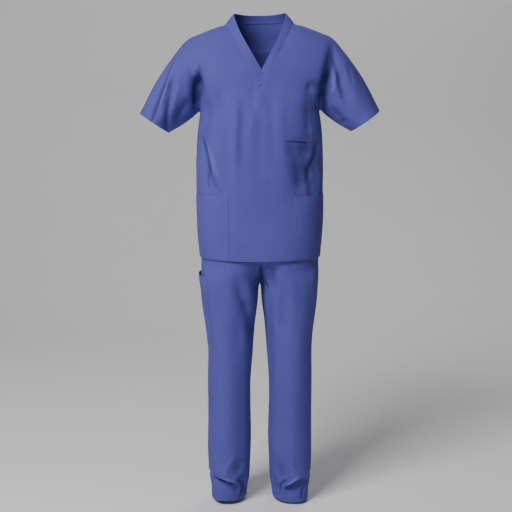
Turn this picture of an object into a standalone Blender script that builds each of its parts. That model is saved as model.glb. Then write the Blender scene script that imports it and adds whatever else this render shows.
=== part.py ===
"""A worn set of medical scrubs: a V-neck top over a pair of trousers, each hollow and open.

The wearer's shoulders and waist hold the set up. +Z is up, -Y is the front and +X is the wearer's
left. The origin lies midway between the neck ends of the two shoulder seams. Lengths are in metres.

Each garment is first one continuous skin of points. Sections give its form and folds press it in
and out. It is then cut along its seams into the panels that a maker would sew together. Each panel
is a wall of even thickness, and what lies on a panel is made from the panel's own points.
"""

import math

import bmesh
import bpy
from mathutils import Vector
from mathutils.bvhtree import BVHTree

# Cloth ------------------------------------------------------------------------------------------
CLOTH = 0.0018          # wall of a single panel
BAND_CLOTH = 0.0024     # folded double: the neckband and the waistband
SEAM_GAP = 0.0003       # between two panels at a seam
LAY_GAP = 0.0009        # under a pocket that lies on a panel
REST_GAP = 0.0007       # between the trousers and the top where the hips fill it
BELOW_HEM = 0.030       # how far below the top's hem the trousers still keep that gap
WELD = 0.0001           # points in the same cell of this size are one
WELD_PHASE = 0.27       # keeps round numbers away from the borders of those cells
SMOOTH_ROUNDS = 8       # relaxes a skin where two of its patches meet
RELAX_PULLS = (0.50, -0.52)     # towards the neighbours' middle, and back out, so that nothing shrinks
FOLD_FACING = 2.5       # a fold keeps its depth until the cloth has turned this much sideways

# Rows and columns of cloth ----------------------------------------------------------------------
# Columns across half the front, as shares of the way from the centre to the side seam. The
# pockets' edges lie on columns.
COLUMN_SHARES = (0.0, 0.075, 0.15, 0.222, 0.293, 0.38, 0.465, 0.55, 0.66, 0.77, 0.885, 1.0)
NECK_COLUMNS = 3        # across half the back of the neck
SIDE_ROWS = 20          # from the hem to the underarm
ARM_ROWS = 10           # from the underarm to the shoulder
V_ROW = 3               # from the underarm up to the foot of the V
SLEEVE_RINGS = 9
LEG_COLUMNS = 12        # across one trouser panel
HEM_ROWS, HEM_ROW = 8, 0.010    # close rows at the trousers' hem, where the cloth breaks
LEG_ROWS = 17           # from there to the fork
FORK_ROWS = 4           # from the fork to the hips
HIP_ROWS = 4            # from the hips to the waistband

# Top --------------------------------------------------------------------------------------------
UNDERARM_Z = -0.262
V_Z = -0.192            # where the neckline seam meets itself at the centre front
NECK_X, NECK_Y, NECK_Z = 0.0965, 0.000, 0.000           # neck end of a shoulder seam
SHOULDER_X, SHOULDER_Y, SHOULDER_Z = 0.213, 0.000, -0.045
SHOULDER_BOW = 0.002
BODY_SQUARENESS = 2.35  # 2 is an ellipse, and more is a flatter front and back

# Sections of the top's body, from the hem to the underarm.
# half: half the width; front, back: y of the centre front and back; side: y of the side seam;
# dip: how much lower the centre front hangs than the side.
BODY_NAMES = ("z", "half", "front", "back", "side", "dip")
BODY = (
    (-0.689, 0.1795, -0.137, 0.134, 0.000, 0.003),
    (-0.636, 0.1845, -0.135, 0.132, 0.000, 0.000),
    (-0.556, 0.1882, -0.132, 0.124, 0.000, 0.000),
    (-0.476, 0.1885, -0.130, 0.116, 0.000, 0.000),
    (-0.396, 0.1875, -0.130, 0.114, 0.002, 0.000),
    (-0.316, 0.1840, -0.132, 0.118, 0.005, 0.000),
    (-0.282, 0.1800, -0.130, 0.122, 0.008, 0.000),
    (UNDERARM_Z, 0.1770, -0.126, 0.124, 0.010, 0.000),
)

# Half of the armhole seam, from the underarm to the shoulder: its front and its back.
ARMHOLE_NAMES = ("x", "z", "front", "back")
ARMHOLE = (
    (0.1770, UNDERARM_Z, 0.010, 0.010),
    (0.1780, -0.236, -0.036, 0.050),
    (0.1850, -0.196, -0.060, 0.074),
    (0.1975, -0.156, -0.066, 0.080),
    (0.2105, -0.116, -0.058, 0.072),
    (0.2160, -0.081, -0.034, 0.046),
    (SHOULDER_X, SHOULDER_Z, SHOULDER_Y, SHOULDER_Y),
)

# The centre back, from the underarm's height to the neck.
CENTRE_BACK = (
    (0.124, UNDERARM_Z), (0.125, -0.190), (0.121, -0.130), (0.110, -0.075), (0.095, -0.030), (0.080, 0.002),
)

# The neckline seam on the front, from the foot of the V to the shoulder seam, and beside it the
# free edge of the neckband. The first edge point lies past the centre, where the two ends lap.
NECKLINE_NAMES = ("x", "y", "z", "edge_x", "edge_y", "edge_z")
NECKLINE = (
    (0.0000, -0.1140, V_Z, -0.0096, -0.1075, -0.1620),
    (0.0290, -0.1080, -0.1400, 0.0088, -0.1030, -0.1290),
    (0.0464, -0.0950, -0.1090, 0.0258, -0.0920, -0.0980),
    (0.0640, -0.0740, -0.0765, 0.0428, -0.0730, -0.0660),
    (0.0800, -0.0500, -0.0445, 0.0582, -0.0500, -0.0345),
    (0.0915, -0.0240, -0.0180, 0.0698, -0.0260, -0.0050),
    (NECK_X, NECK_Y, NECK_Z, 0.0765, -0.0030, 0.0210),
)
BACK_NECK_Y, BACK_NECK_Z = 0.080, 0.002
BAND_BACK_Y, BAND_BACK_Z = 0.071, 0.024
LAP_DEPTH = BAND_CLOTH + 0.0005     # how far the lower end of the neckband dives under the upper one
LAP_NEAR, LAP_FAR = 0.012, 0.032    # x where that dive is whole, and where it has ended
V_CORNER_GAP = 0.0012               # keeps its lowest corners apart from the front's own corner
BAND_RIM_SLANT = 0.0014             # sets its inner face back at the seam, where it meets the cloth askew

# Stance: the wearer's left shoulder is held a little higher, and the left leg lower.
SHOULDER_TILT = 0.015               # rise for each metre to the wearer's left
TILT_FROM, TILT_WHOLE = -0.480, -0.200
LEFT_LEG_DROP = 0.007

# A sleeve: its cuff is an oval ring square to the arm.
CUFF_CENTRE = (0.3110, -0.012, -0.292)
CUFF_ALONG = (0.820, 0.0, 0.572)    # from the underarm seam towards the top of the sleeve
CUFF_HALF_HIGH, CUFF_HALF_DEEP = 0.0510, 0.0740
CAP_BULGE = 0.010                   # how far the top of the sleeve stands out of a straight cone
UNDER_SAG = 0.004

# Pockets of the top: first and last column, heights of the top and bottom edges at those columns.
POCKET_NAMES = ("first", "last", "top_first", "top_last", "foot_first", "foot_last", "rows", "ease")
CHEST_POCKET = (3, 7, -0.193, -0.201, -0.345, -0.348, 8, 0.0022)
LOWER_POCKET = (4, 11, -0.516, -0.512, -0.688, -0.688, 8, 0.0030)

# Trousers ---------------------------------------------------------------------------------------
# Sections of a leg, from the hem to the fork. inner, outer: x of the inseam and the outseam;
# front, back: y of the front and back; middle: y of the seams; toe_out: how far the front is
# turned outwards, as a share of its depth; square: 2 is an ellipse, and more is squarer.
LEG_NAMES = ("z", "inner", "outer", "front", "back", "middle", "toe_out", "square")
FORK_Z = -0.765
LEG = (
    (-1.4310, 0.0400, 0.1480, -0.068, 0.088, 0.008, 0.14, 2.30),
    (-1.4030, 0.0370, 0.1490, -0.069, 0.090, 0.008, 0.12, 2.30),
    (-1.3730, 0.0320, 0.1540, -0.072, 0.092, 0.008, 0.10, 2.30),
    (-1.3120, 0.0288, 0.1590, -0.076, 0.094, 0.008, 0.06, 2.25),
    (-1.2510, 0.0262, 0.1590, -0.078, 0.093, 0.007, 0.04, 2.25),
    (-1.1910, 0.0272, 0.1580, -0.080, 0.090, 0.005, 0.02, 2.25),
    (-1.0990, 0.0288, 0.1585, -0.083, 0.086, 0.002, 0.00, 2.25),
    (-1.0390, 0.0258, 0.1580, -0.085, 0.086, 0.002, 0.00, 2.30),
    (-0.9780, 0.0212, 0.1570, -0.088, 0.088, 0.002, 0.00, 2.35),
    (-0.9170, 0.0167, 0.1605, -0.093, 0.093, 0.003, 0.00, 2.45),
    (-0.8560, 0.0106, 0.1680, -0.101, 0.102, 0.005, 0.00, 2.65),
    (-0.8080, 0.0032, 0.1730, -0.110, 0.113, 0.008, 0.00, 2.95),
    (-0.7850, 0.0012, 0.1750, -0.114, 0.118, 0.010, 0.00, 3.15),
    (FORK_Z, 0.0000, 0.1758, -0.117, 0.122, 0.010, 0.00, 3.30),
)

# Sections of the hips, from the fork's end at the centre to the top of the waistband.
HIP_NAMES = ("z", "half", "front", "back", "middle")
HIP_Z, WAIST_Z, WAIST_TOP_Z = -0.646, -0.506, -0.471
HIP = (
    (HIP_Z, 0.1790, -0.121, 0.131, 0.000),
    (-0.576, 0.1740, -0.116, 0.122, 0.000),
    (WAIST_Z, 0.1530, -0.106, 0.106, 0.000),
    (WAIST_TOP_Z, 0.1500, -0.104, 0.104, 0.000),
)
HIP_SQUARENESS = 2.2

# The seams under the body, as y and z from the fork up the centre front and the centre back.
FRONT_RISE = ((0.010, FORK_Z), (-0.040, -0.758), (-0.078, -0.738), (-0.104, -0.706), (-0.121, HIP_Z))
BACK_RISE = ((0.010, FORK_Z), (0.054, -0.759), (0.092, -0.740), (0.118, -0.708), (0.131, HIP_Z))

# Where the four panels meet the cloth is pulled smooth, over this reach across and up and down.
FORK_EASE_ROUNDS, FORK_EASE_PULL = 14, 0.5
FORK_EASE_Z, FORK_EASE_HALF_WIDE, FORK_EASE_HALF_TALL = -0.757, 0.050, 0.034

# The cargo pocket straddles the right outseam: columns it covers on the front and on the back.
CARGO_FRONT, CARGO_BACK = 3, 4
CARGO_TOP, CARGO_FOOT, CARGO_ROWS = -0.742, -0.958, 9
CARGO_EASE, CARGO_MOUTH, CARGO_MOUTH_DEEP = 0.0030, 0.0060, 0.045
CARGO_ARCH = 0.3        # how far along a half wave its slack is at the mouth: 0.5 is its fullest
TOP_POCKET_ARCH = 0.25

# Folds ------------------------------------------------------------------------------------------
# Each runs from the first point to the second as seen from the front or the back. width is half
# its width, and depth is out of the cloth for a ridge and into it, below zero, for a trough.
FOLD_NAMES = ("x0", "z0", "x1", "z1", "width", "depth")
TOP_FRONT_FOLDS = (
    (-0.172, -0.316, -0.140, -0.520, 0.014, -0.0095),
    (-0.150, -0.326, -0.116, -0.506, 0.015, 0.0045),
    (0.176, -0.366, 0.150, -0.521, 0.013, -0.0085),
    (0.156, -0.356, 0.130, -0.516, 0.015, 0.0040),
    (-0.119, -0.191, -0.117, -0.376, 0.016, -0.0040),
    (-0.078, -0.211, -0.076, -0.496, 0.020, 0.0040),
    (-0.044, -0.216, -0.046, -0.456, 0.014, -0.0025),
    (0.018, -0.211, 0.016, -0.356, 0.016, -0.0030),
    (0.052, -0.226, 0.048, -0.536, 0.020, 0.0035),
    (0.120, -0.341, 0.128, -0.536, 0.028, -0.0060),
    (-0.194, -0.086, -0.172, -0.261, 0.014, -0.0090),
    (0.214, -0.061, 0.174, -0.271, 0.015, -0.0110),
    (-0.262, -0.121, -0.318, -0.296, 0.010, -0.0050),
    (-0.250, -0.136, -0.296, -0.306, 0.016, 0.0050),
    (0.220, -0.091, 0.262, -0.276, 0.012, -0.0050),
    (0.246, -0.106, 0.276, -0.276, 0.014, 0.0040),
)
TOP_BACK_FOLDS = (
    (-0.190, -0.096, -0.170, -0.276, 0.015, -0.0100),
    (0.192, -0.091, 0.172, -0.276, 0.015, -0.0100),
    (-0.100, -0.146, -0.085, -0.496, 0.022, 0.0050),
    (0.104, -0.156, 0.080, -0.476, 0.022, 0.0050),
    (-0.040, -0.236, -0.030, -0.596, 0.020, -0.0045),
    (0.034, -0.216, 0.040, -0.576, 0.018, -0.0050),
    (-0.160, -0.306, -0.130, -0.576, 0.016, -0.0060),
    (0.158, -0.326, 0.134, -0.596, 0.016, -0.0055),
    (-0.255, -0.126, -0.305, -0.296, 0.014, -0.0050),
    (0.250, -0.116, 0.300, -0.296, 0.014, -0.0050),
)
TROUSER_FRONT_FOLDS = (
    (-0.034, -0.770, -0.078, -0.976, 0.018, -0.0045),
    (0.034, -0.770, 0.074, -0.936, 0.018, -0.0045),
    (-0.104, -0.756, -0.100, -1.356, 0.022, 0.0040),
    (0.104, -0.756, 0.096, -1.356, 0.022, 0.0040),
    (-0.060, -0.976, -0.058, -1.316, 0.016, -0.0030),
    (0.062, -0.996, 0.058, -1.316, 0.016, -0.0030),
    (-0.150, -1.364, -0.058, -1.394, 0.014, -0.0110),
    (-0.140, -1.340, -0.052, -1.370, 0.012, 0.0060),
    (0.156, -1.364, 0.070, -1.408, 0.014, -0.0110),
    (0.150, -1.340, 0.058, -1.386, 0.012, 0.0060),
    (-0.066, -1.380, -0.062, -1.435, 0.009, -0.0060),
    (0.064, -1.385, 0.062, -1.435, 0.009, 0.0050),
)
TROUSER_BACK_FOLDS = (
    (-0.030, -0.766, -0.120, -0.876, 0.020, -0.0070),
    (0.030, -0.776, 0.118, -0.886, 0.020, -0.0070),
    (-0.100, -0.876, -0.096, -1.316, 0.022, 0.0045),
    (0.098, -0.876, 0.094, -1.316, 0.022, 0.0045),
    (-0.050, -1.046, -0.140, -1.076, 0.018, -0.0055),
    (0.052, -1.056, 0.142, -1.086, 0.018, -0.0055),
    (-0.046, -1.346, -0.140, -1.371, 0.015, -0.0065),
    (0.046, -1.351, 0.140, -1.376, 0.015, -0.0065),
)

# Looks: linear colour and roughness of each material.
LOOKS = {
    "top_cloth": ((0.115, 0.140, 0.430), 0.80),
    "trouser_cloth": ((0.110, 0.135, 0.420), 0.80),
    "band_cloth": ((0.105, 0.128, 0.400), 0.82),
}

# Panels of the two skins.
TOP_FRONT, TOP_BACK, SLEEVE_LEFT, SLEEVE_RIGHT = 1, 2, 3, 4
FRONT_LEFT, FRONT_RIGHT, BACK_LEFT, BACK_RIGHT, WAISTBAND = 5, 6, 7, 8, 9


# Tables and curves -------------------------------------------------------------------------------
def column(table, names, name):
    """One named column of a table, as a list."""
    return [row[names.index(name)] for row in table]


def smooth_between(xs, ys, x):
    """The value at x of a smooth curve through the points, which never overshoots them."""
    if xs[0] > xs[-1]:
        xs, ys = xs[::-1], ys[::-1]
    x = min(max(x, xs[0]), xs[-1])
    i = next(k for k in range(len(xs) - 1) if x <= xs[k + 1])
    slopes = [(ys[k + 1] - ys[k]) / (xs[k + 1] - xs[k]) for k in range(len(xs) - 1)]

    def tangent(k):
        if k in (0, len(xs) - 1):
            return slopes[min(k, len(slopes) - 1)]
        before, after = slopes[k - 1], slopes[k]
        return 0.0 if before * after <= 0 else 2 * before * after / (before + after)

    step = xs[i + 1] - xs[i]
    t = (x - xs[i]) / step
    return (
        ys[i] * (1 + 2 * t) * (1 - t) ** 2
        + ys[i + 1] * t * t * (3 - 2 * t)
        + step * (tangent(i) * t * (1 - t) ** 2 - tangent(i + 1) * t * t * (1 - t))
    )


def section(table, names, z):
    """The table's section at height z, as a dictionary of its named columns."""
    heights = column(table, names, "z")
    return {name: smooth_between(heights, column(table, names, name), z) for name in names}


class Curve:
    """A smooth curve through points, read by the share of its length."""

    def __init__(self, points):
        self.points = [Vector(p) for p in points]
        self.at = [0.0]
        for a, b in zip(self.points, self.points[1:]):
            self.at.append(self.at[-1] + (b - a).length)

    def __call__(self, share):
        where = share * self.at[-1]
        return Vector([smooth_between(self.at, [p[k] for p in self.points], where) for k in range(3)])


def oval(angle, squareness):
    """Cosine and sine of an angle on an oval that is squarer than an ellipse where squareness > 2."""
    c, s = math.cos(angle), math.sin(angle)
    power = 2 / squareness
    return math.copysign(abs(c) ** power, c), math.copysign(abs(s) ** power, s)


def shares(count):
    return [k / count for k in range(count + 1)]


def both_sides(positive):
    """Shares from -1 to 1, from those of one side, which start at 0."""
    return [-s for s in reversed(positive[1:])] + list(positive)


def filled(inner, outer, low, high, rows, columns):
    """Rows of points inside four edge curves that meet at their corners.

    inner and outer run upwards at the two sides, low and high run from inner to outer.
    """
    grid = []
    for s in rows:
        line = []
        for t in columns:
            ruled = inner(s).lerp(outer(s), t) + low(t).lerp(high(t), s)
            corners = low(0).lerp(low(1), t).lerp(high(0).lerp(high(1), t), s)
            line.append(ruled - corners)
        grid.append(line)
    return grid


# One continuous skin -----------------------------------------------------------------------------
class Skin:
    """A garment's outer skin: patches that share their edge points, each face marked with its panel."""

    def __init__(self, stance):
        self.stance = stance
        self.bm = bmesh.new()
        self.mark = self.bm.faces.layers.int.new("panel")
        self.points = {}

    def vert(self, p):
        key = tuple(math.floor(c / WELD + WELD_PHASE) for c in p)
        if key not in self.points:
            self.points[key] = self.bm.verts.new(self.stance(p))
        return self.points[key]

    def patch(self, grid, panel, around=False, flip=False):
        """Adds a grid of points as faces, and returns its grid of vertices."""
        rows = [[self.vert(p) for p in row] for row in grid]
        for low, high in zip(rows, rows[1:]):
            for k in range(len(low) if around else len(low) - 1):
                n = (k + 1) % len(low)
                corners = list(dict.fromkeys([low[k], low[n], high[n], high[k]]))
                if flip:
                    corners.reverse()
                self.bm.faces.new(corners)[self.mark] = panel
        return rows

    def relax(self, rounds):
        """Evens the points out without shrinking the form. The free edges stay."""
        inside = [v for v in self.bm.verts if not v.is_boundary]
        for _ in range(rounds):
            for pull in RELAX_PULLS:
                self.pull(inside, lambda p: pull)
        self.bm.normal_update()

    def pull(self, verts, share):
        """Moves each vertex a share of the way to the middle of its neighbours."""
        middle = {v: sum((e.other_vert(v).co for e in v.link_edges), Vector()) for v in verts}
        for v in verts:
            v.co += (middle[v] / len(v.link_edges) - v.co) * share(v.co)

    def press(self, front_folds, back_folds):
        """Presses folds into the skin, along its normals, as seen from the front and the back."""
        moves = {}
        for v in self.bm.verts:
            folds = front_folds if v.normal.y < 0 else back_folds
            facing = min(1.0, abs(v.normal.y) * FOLD_FACING)
            moves[v] = v.normal * facing * sum(fold_height(fold, v.co.x, v.co.z) for fold in folds)
        for v, move in moves.items():
            v.co += move
        self.bm.normal_update()

    def wall(self, name, panel, thickness, material):
        """The panel as a closed wall inside the skin, kept half a seam's gap from its neighbours."""
        faces = [f for f in self.bm.faces if f[self.mark] == panel]
        own = set(faces)
        moved = seam_shift(faces, own)
        verts = list(dict.fromkeys(v for f in faces for v in f.verts))
        index = {v: k for k, v in enumerate(verts)}
        outer = [v.co + moved.get(v, Vector()) for v in verts]
        inner = [p - v.normal * thickness for p, v in zip(outer, verts)]
        count = len(verts)
        polygons = []
        for f in faces:
            corners = [index[v] for v in f.verts]
            for three in halves(f.verts, corners):
                polygons.append(three)
                polygons.append([k + count for k in reversed(three)])
            for loop in f.loops:
                if sum(g in own for g in loop.edge.link_faces) == 1:
                    a, b = loop.vert, loop.link_loop_next.vert
                    polygons += rim(a, b, index[a], index[b], count)
        return solid(name, outer + inner, polygons, material)


def halves(verts, corners):
    """A face as triangles, cut from its lowest vertex, so that neighbours are cut alike."""
    if len(corners) == 3:
        return [corners]
    start = min(range(4), key=lambda k: (round(verts[k].co.z, 4), round(verts[k].co.y, 4), verts[k].co.x))
    order = corners[start:] + corners[:start]
    return [[order[0], order[1], order[2]], [order[0], order[2], order[3]]]


def rim(a, b, ia, ib, count):
    """The wall's edge between two vertices, cut the same way for both panels of a seam."""
    if (a.co.z, a.co.x, a.co.y) < (b.co.z, b.co.x, b.co.y):
        return [[ib, ia, ib + count], [ia, ia + count, ib + count]]
    return [[ib, ia, ia + count], [ib, ia + count, ib + count]]


def seam_shift(faces, own):
    """How far each seam point of a panel moves into the panel: half the gap, square to the seam."""
    pulls = {}
    for f in faces:
        for loop in f.loops:
            edge = loop.edge
            if len(edge.link_faces) < 2 or all(g in own for g in edge.link_faces):
                continue
            a, b = loop.vert, loop.link_loop_next.vert
            inward = f.normal.cross((b.co - a.co).normalized())
            for v in (a, b):
                pulls.setdefault(v, []).append(inward)
    shifts = {}
    for v, ways in pulls.items():
        total = sum(ways, Vector()).normalized()
        reach = 1 / max(0.35, min(total.dot(w) for w in ways))
        shifts[v] = total * (SEAM_GAP / 2) * reach
    return shifts


def fold_height(fold, x, z):
    """How far a fold moves the cloth at a place, with soft sides and ends that fade out."""
    f = dict(zip(FOLD_NAMES, fold))
    start = Vector((f["x0"], f["z0"]))
    along, place = Vector((f["x1"], f["z1"])) - start, Vector((x, z)) - start
    t = place.dot(along) / along.length_squared
    if not 0 < t < 1:
        return 0.0
    aside = (place - along * t).length
    return f["depth"] * math.exp(-(aside / f["width"]) ** 2) * (1 - (2 * t - 1) ** 4)


def solid(name, points, polygons, material):
    """A named object from points and polygons, shaded smooth except at its rims."""
    mesh = bpy.data.meshes.new(name)
    mesh.from_pydata([tuple(p) for p in points], [], polygons)
    mesh.validate()
    mesh.shade_smooth()
    mesh.set_sharp_from_angle(angle=math.radians(50))
    mesh.materials.append(material)
    thing = bpy.data.objects.new(name, mesh)
    bpy.context.scene.collection.objects.link(thing)
    return thing


# The top's form ----------------------------------------------------------------------------------
def body_point(z, u, front):
    """A point of the body below the underarm: u is -1 and 1 at the side seams and 0 at the centre."""
    s = section(BODY, BODY_NAMES, z)
    across, forward = oval(math.pi / 2 * (1 - abs(u)), BODY_SQUARENESS)
    centre = s["front"] if front else s["back"]
    x = math.copysign(s["half"] * across, u)
    y = s["side"] + (centre - s["side"]) * forward
    return Vector((x, y, z - (s["dip"] * forward if front else 0.0)))


def armhole(side, half):
    """The front or back half of the armhole seam, from the underarm to the shoulder."""
    xs, zs, ys = (column(ARMHOLE, ARMHOLE_NAMES, name) for name in ("x", "z", half))
    return Curve([(side * x, y, z) for x, y, z in zip(xs, ys, zs)])


def shoulder_seam(side, share):
    """From the neck to the shoulder."""
    neck, tip = Vector((side * NECK_X, NECK_Y, NECK_Z)), Vector((side * SHOULDER_X, SHOULDER_Y, SHOULDER_Z))
    return neck.lerp(tip, share) + Vector((0, 0, SHOULDER_BOW * math.sin(math.pi * share)))


def neckline(side, edge=""):
    """The neckline seam on the front, or the free edge of the neckband, from the V to the shoulder."""
    xs, ys, zs = (column(NECKLINE, NECKLINE_NAMES, edge + name) for name in "xyz")
    return Curve([(side * x, y, z) for x, y, z in zip(xs, ys, zs)])


def back_neck(side, share, edge=False):
    """From the shoulder seam to the centre back, as a quarter of an oval."""
    start = NECKLINE[-1][3:] if edge else NECKLINE[-1][:3]
    back_y, back_z = (BAND_BACK_Y, BAND_BACK_Z) if edge else (BACK_NECK_Y, BACK_NECK_Z)
    turn = math.pi / 2 * share
    y = start[1] + (back_y - start[1]) * math.sin(turn)
    z = start[2] + (back_z - start[2]) * share
    return Vector((side * start[0] * math.cos(turn), y, z))


def chest_point(v, u):
    """A point of the front between the underarm and the foot of the V, v from 0 to 1."""
    low = body_point(UNDERARM_Z, u, True)
    side = -1 if u < 0 else 1
    reach = armhole(side, "front")(v * V_ROW / ARM_ROWS)
    across, forward = oval(math.pi / 2 * (1 - abs(u)), BODY_SQUARENESS)
    foot = Vector(NECKLINE[0][:3])
    centre = body_point(UNDERARM_Z, 0, True).lerp(foot, v)
    if v == 0:
        return low
    if u == 0:
        return centre
    return Vector((reach.x * across, *[reach[k] + (centre[k] - reach[k]) * forward for k in (1, 2)]))


def front_strap(side):
    """The front from the foot of the V to a shoulder seam."""
    seam, hole, start = neckline(side), armhole(side, "front"), V_ROW / ARM_ROWS
    return filled(
        seam,
        lambda s: hole(start + (1 - start) * s),
        lambda t: chest_point(1, side * t if t else 0.0),
        lambda t: shoulder_seam(side, t),
        shares(ARM_ROWS - V_ROW),
        COLUMN_SHARES,
    )


def back_shares():
    """Columns across half the back: the neck's, and then those of the shoulder seam."""
    split = NECK_COLUMNS / (NECK_COLUMNS + len(COLUMN_SHARES) - 1)
    neck = [split * k / NECK_COLUMNS for k in range(NECK_COLUMNS)]
    return split, neck + [split + (1 - split) * s for s in COLUMN_SHARES]


def back_upper(side):
    """Half the back above the underarm, from the centre back to the armhole."""
    split, columns = back_shares()

    def top(t):
        return back_neck(side, 1 - t / split) if t < split else shoulder_seam(side, (t - split) / (1 - split))

    return filled(
        Curve([(0, y, z) for y, z in CENTRE_BACK]),
        armhole(side, "back"),
        lambda t: body_point(UNDERARM_Z, side * t if t else 0.0, False),
        top,
        shares(ARM_ROWS),
        columns,
    )


def cuff_point(side, turn):
    """A point of the cuff. turn is 0 at the underarm seam, 0.25 in front and 0.5 on top."""
    along, centre = Vector(CUFF_ALONG), Vector(CUFF_CENTRE)
    c, s = math.cos(2 * math.pi * turn), math.sin(2 * math.pi * turn)
    p = centre - along * CUFF_HALF_HIGH * c + Vector((0, -1, 0)) * CUFF_HALF_DEEP * s
    return Vector((side * p.x, p.y, p.z))


def sleeve_rings(side):
    """Rings of points from the armhole seam to the cuff."""
    front, back = armhole(side, "front"), armhole(side, "back")
    around = [front(s) for s in shares(ARM_ROWS)] + [back(s) for s in reversed(shares(ARM_ROWS)[1:-1])]
    out = Vector((side * CUFF_ALONG[0], 0, CUFF_ALONG[2]))
    rings = [around]
    for s in shares(SLEEVE_RINGS)[1:]:
        ring = []
        for k, start in enumerate(around):
            turn = k / len(around)
            height = -math.cos(2 * math.pi * turn)
            bulge = CAP_BULGE * height if height > 0 else UNDER_SAG * height
            ring.append(start.lerp(cuff_point(side, turn), s) + out * bulge * math.sin(math.pi * s))
        rings.append(ring)
    return rings


def smooth_step(x):
    x = min(1.0, max(0.0, x))
    return x * x * (3 - 2 * x)


def tilted(p):
    """A point of the top, with the wearer's left shoulder held a little higher."""
    share = smooth_step((p[2] - TILT_FROM) / (TILT_WHOLE - TILT_FROM))
    return Vector((p[0], p[1], p[2] + SHOULDER_TILT * share * p[0]))


def lowered(p):
    """A point of the trousers, with the wearer's left leg a little lower towards its hem."""
    drop = LEFT_LEG_DROP * smooth_step((p[2] - FORK_Z) / (LEG[0][0] - FORK_Z)) if p[0] > 0 else 0.0
    return Vector((p[0], p[1], p[2] - drop))


def top_skin():
    """The whole top without its neckband and pockets, and the front's columns of vertices."""
    skin = Skin(tilted)
    heights = [BODY[0][0] + (UNDERARM_Z - BODY[0][0]) * s for s in shares(SIDE_ROWS)]
    across = both_sides(COLUMN_SHARES)
    body = skin.patch([[body_point(z, u, True) for u in across] for z in heights], TOP_FRONT)
    chest = skin.patch([[chest_point(v, u) for u in across] for v in shares(V_ROW)], TOP_FRONT)
    straps = {side: skin.patch(front_strap(side), TOP_FRONT, flip=side < 0) for side in (-1, 1)}
    across_back = both_sides(back_shares()[1])
    skin.patch([[body_point(z, u, False) for u in across_back] for z in heights], TOP_BACK, flip=True)
    for side, panel in ((1, SLEEVE_LEFT), (-1, SLEEVE_RIGHT)):
        skin.patch(back_upper(side), TOP_BACK, flip=side > 0)
        skin.patch(sleeve_rings(side), panel, around=True, flip=side > 0)
    skin.relax(SMOOTH_ROUNDS)
    skin.press(TOP_FRONT_FOLDS, TOP_BACK_FOLDS)
    middle = len(COLUMN_SHARES) - 1
    columns = {}
    for side in (-1, 1):
        for k in range(len(COLUMN_SHARES)):
            rows = body + chest[1:]
            columns[side, k] = [row[middle + side * k] for row in rows] + [row[k] for row in straps[side][1:]]
    return skin, columns


# What lies on the panels -------------------------------------------------------------------------
def at_height(chain, z):
    """The point and normal at height z on a column of a skin's vertices, which rises."""
    for low, high in zip(chain, chain[1:]):
        if z <= high.co.z:
            break
    t = (z - low.co.z) / (high.co.z - low.co.z)
    return low.co.lerp(high.co, t), low.normal.lerp(high.normal, t).normalized()


def laid_on(name, chains, tops, feet, rows, lift, material, flip):
    """A pocket made from the points of the panels under it, moved out by LAY_GAP and its own lift.

    chains are the columns it covers; tops and feet are the heights of its edges on each of them;
    lift(across, down) is how far it stands off, with both shares from 0 to 1.
    """
    inner, outer = [], []
    for v in shares(rows):
        for k, chain in enumerate(chains):
            point, normal = at_height(chain, tops[k] + (feet[k] - tops[k]) * v)
            stand = LAY_GAP + lift(k / (len(chains) - 1), v)
            inner.append(point + normal * stand)
            outer.append(point + normal * (stand + CLOTH))
    return sheet_solid(name, outer, inner, len(chains), material, flip)


def sheet_solid(name, outer, inner, wide, material, flip):
    """A closed wall from two equal grids of points, wide points across, with its rims."""
    count, tall = len(outer), len(outer) // wide
    polygons = []
    for r in range(tall - 1):
        for k in range(wide - 1):
            a = r * wide + k
            quad = [a, a + wide, a + wide + 1, a + 1]
            for three in ([quad[0], quad[1], quad[2]], [quad[0], quad[2], quad[3]]):
                polygons += [three, [i + count for i in reversed(three)]]
    left = [r * wide for r in range(tall)]
    right = [r * wide + wide - 1 for r in range(tall)]
    last_row = [(tall - 1) * wide + k for k in range(1, wide)]
    loop = left + last_row + right[-2::-1] + list(range(wide - 2, 0, -1))
    for a, b in zip(loop, loop[1:] + loop[:1]):
        polygons += [[b, a, a + count], [b, a + count, b + count]]
    if flip:
        polygons = [list(reversed(p)) for p in polygons]
    return solid(name, outer + inner, polygons, material)


def between(first, last, count):
    return [first + (last - first) * k / (count - 1) for k in range(count)]


def arch(start, share):
    """A pocket's slack from its mouth to its foot: a half wave that is already under way at the mouth."""
    return math.sin(math.pi * (start + (1 - start) * share))


def top_pocket(name, table, columns, side, material):
    """A patch pocket on the front, slack in its middle."""
    p = dict(zip(POCKET_NAMES, table))
    chains = [columns[side, k] for k in range(p["first"], p["last"] + 1)]
    tops = between(p["top_first"], p["top_last"], len(chains))
    feet = between(p["foot_first"], p["foot_last"], len(chains))

    def lift(across, down):
        return p["ease"] * math.sin(math.pi * across) * arch(TOP_POCKET_ARCH, down)

    return laid_on(name, chains, tops, feet, p["rows"], lift, material, flip=side < 0)


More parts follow.
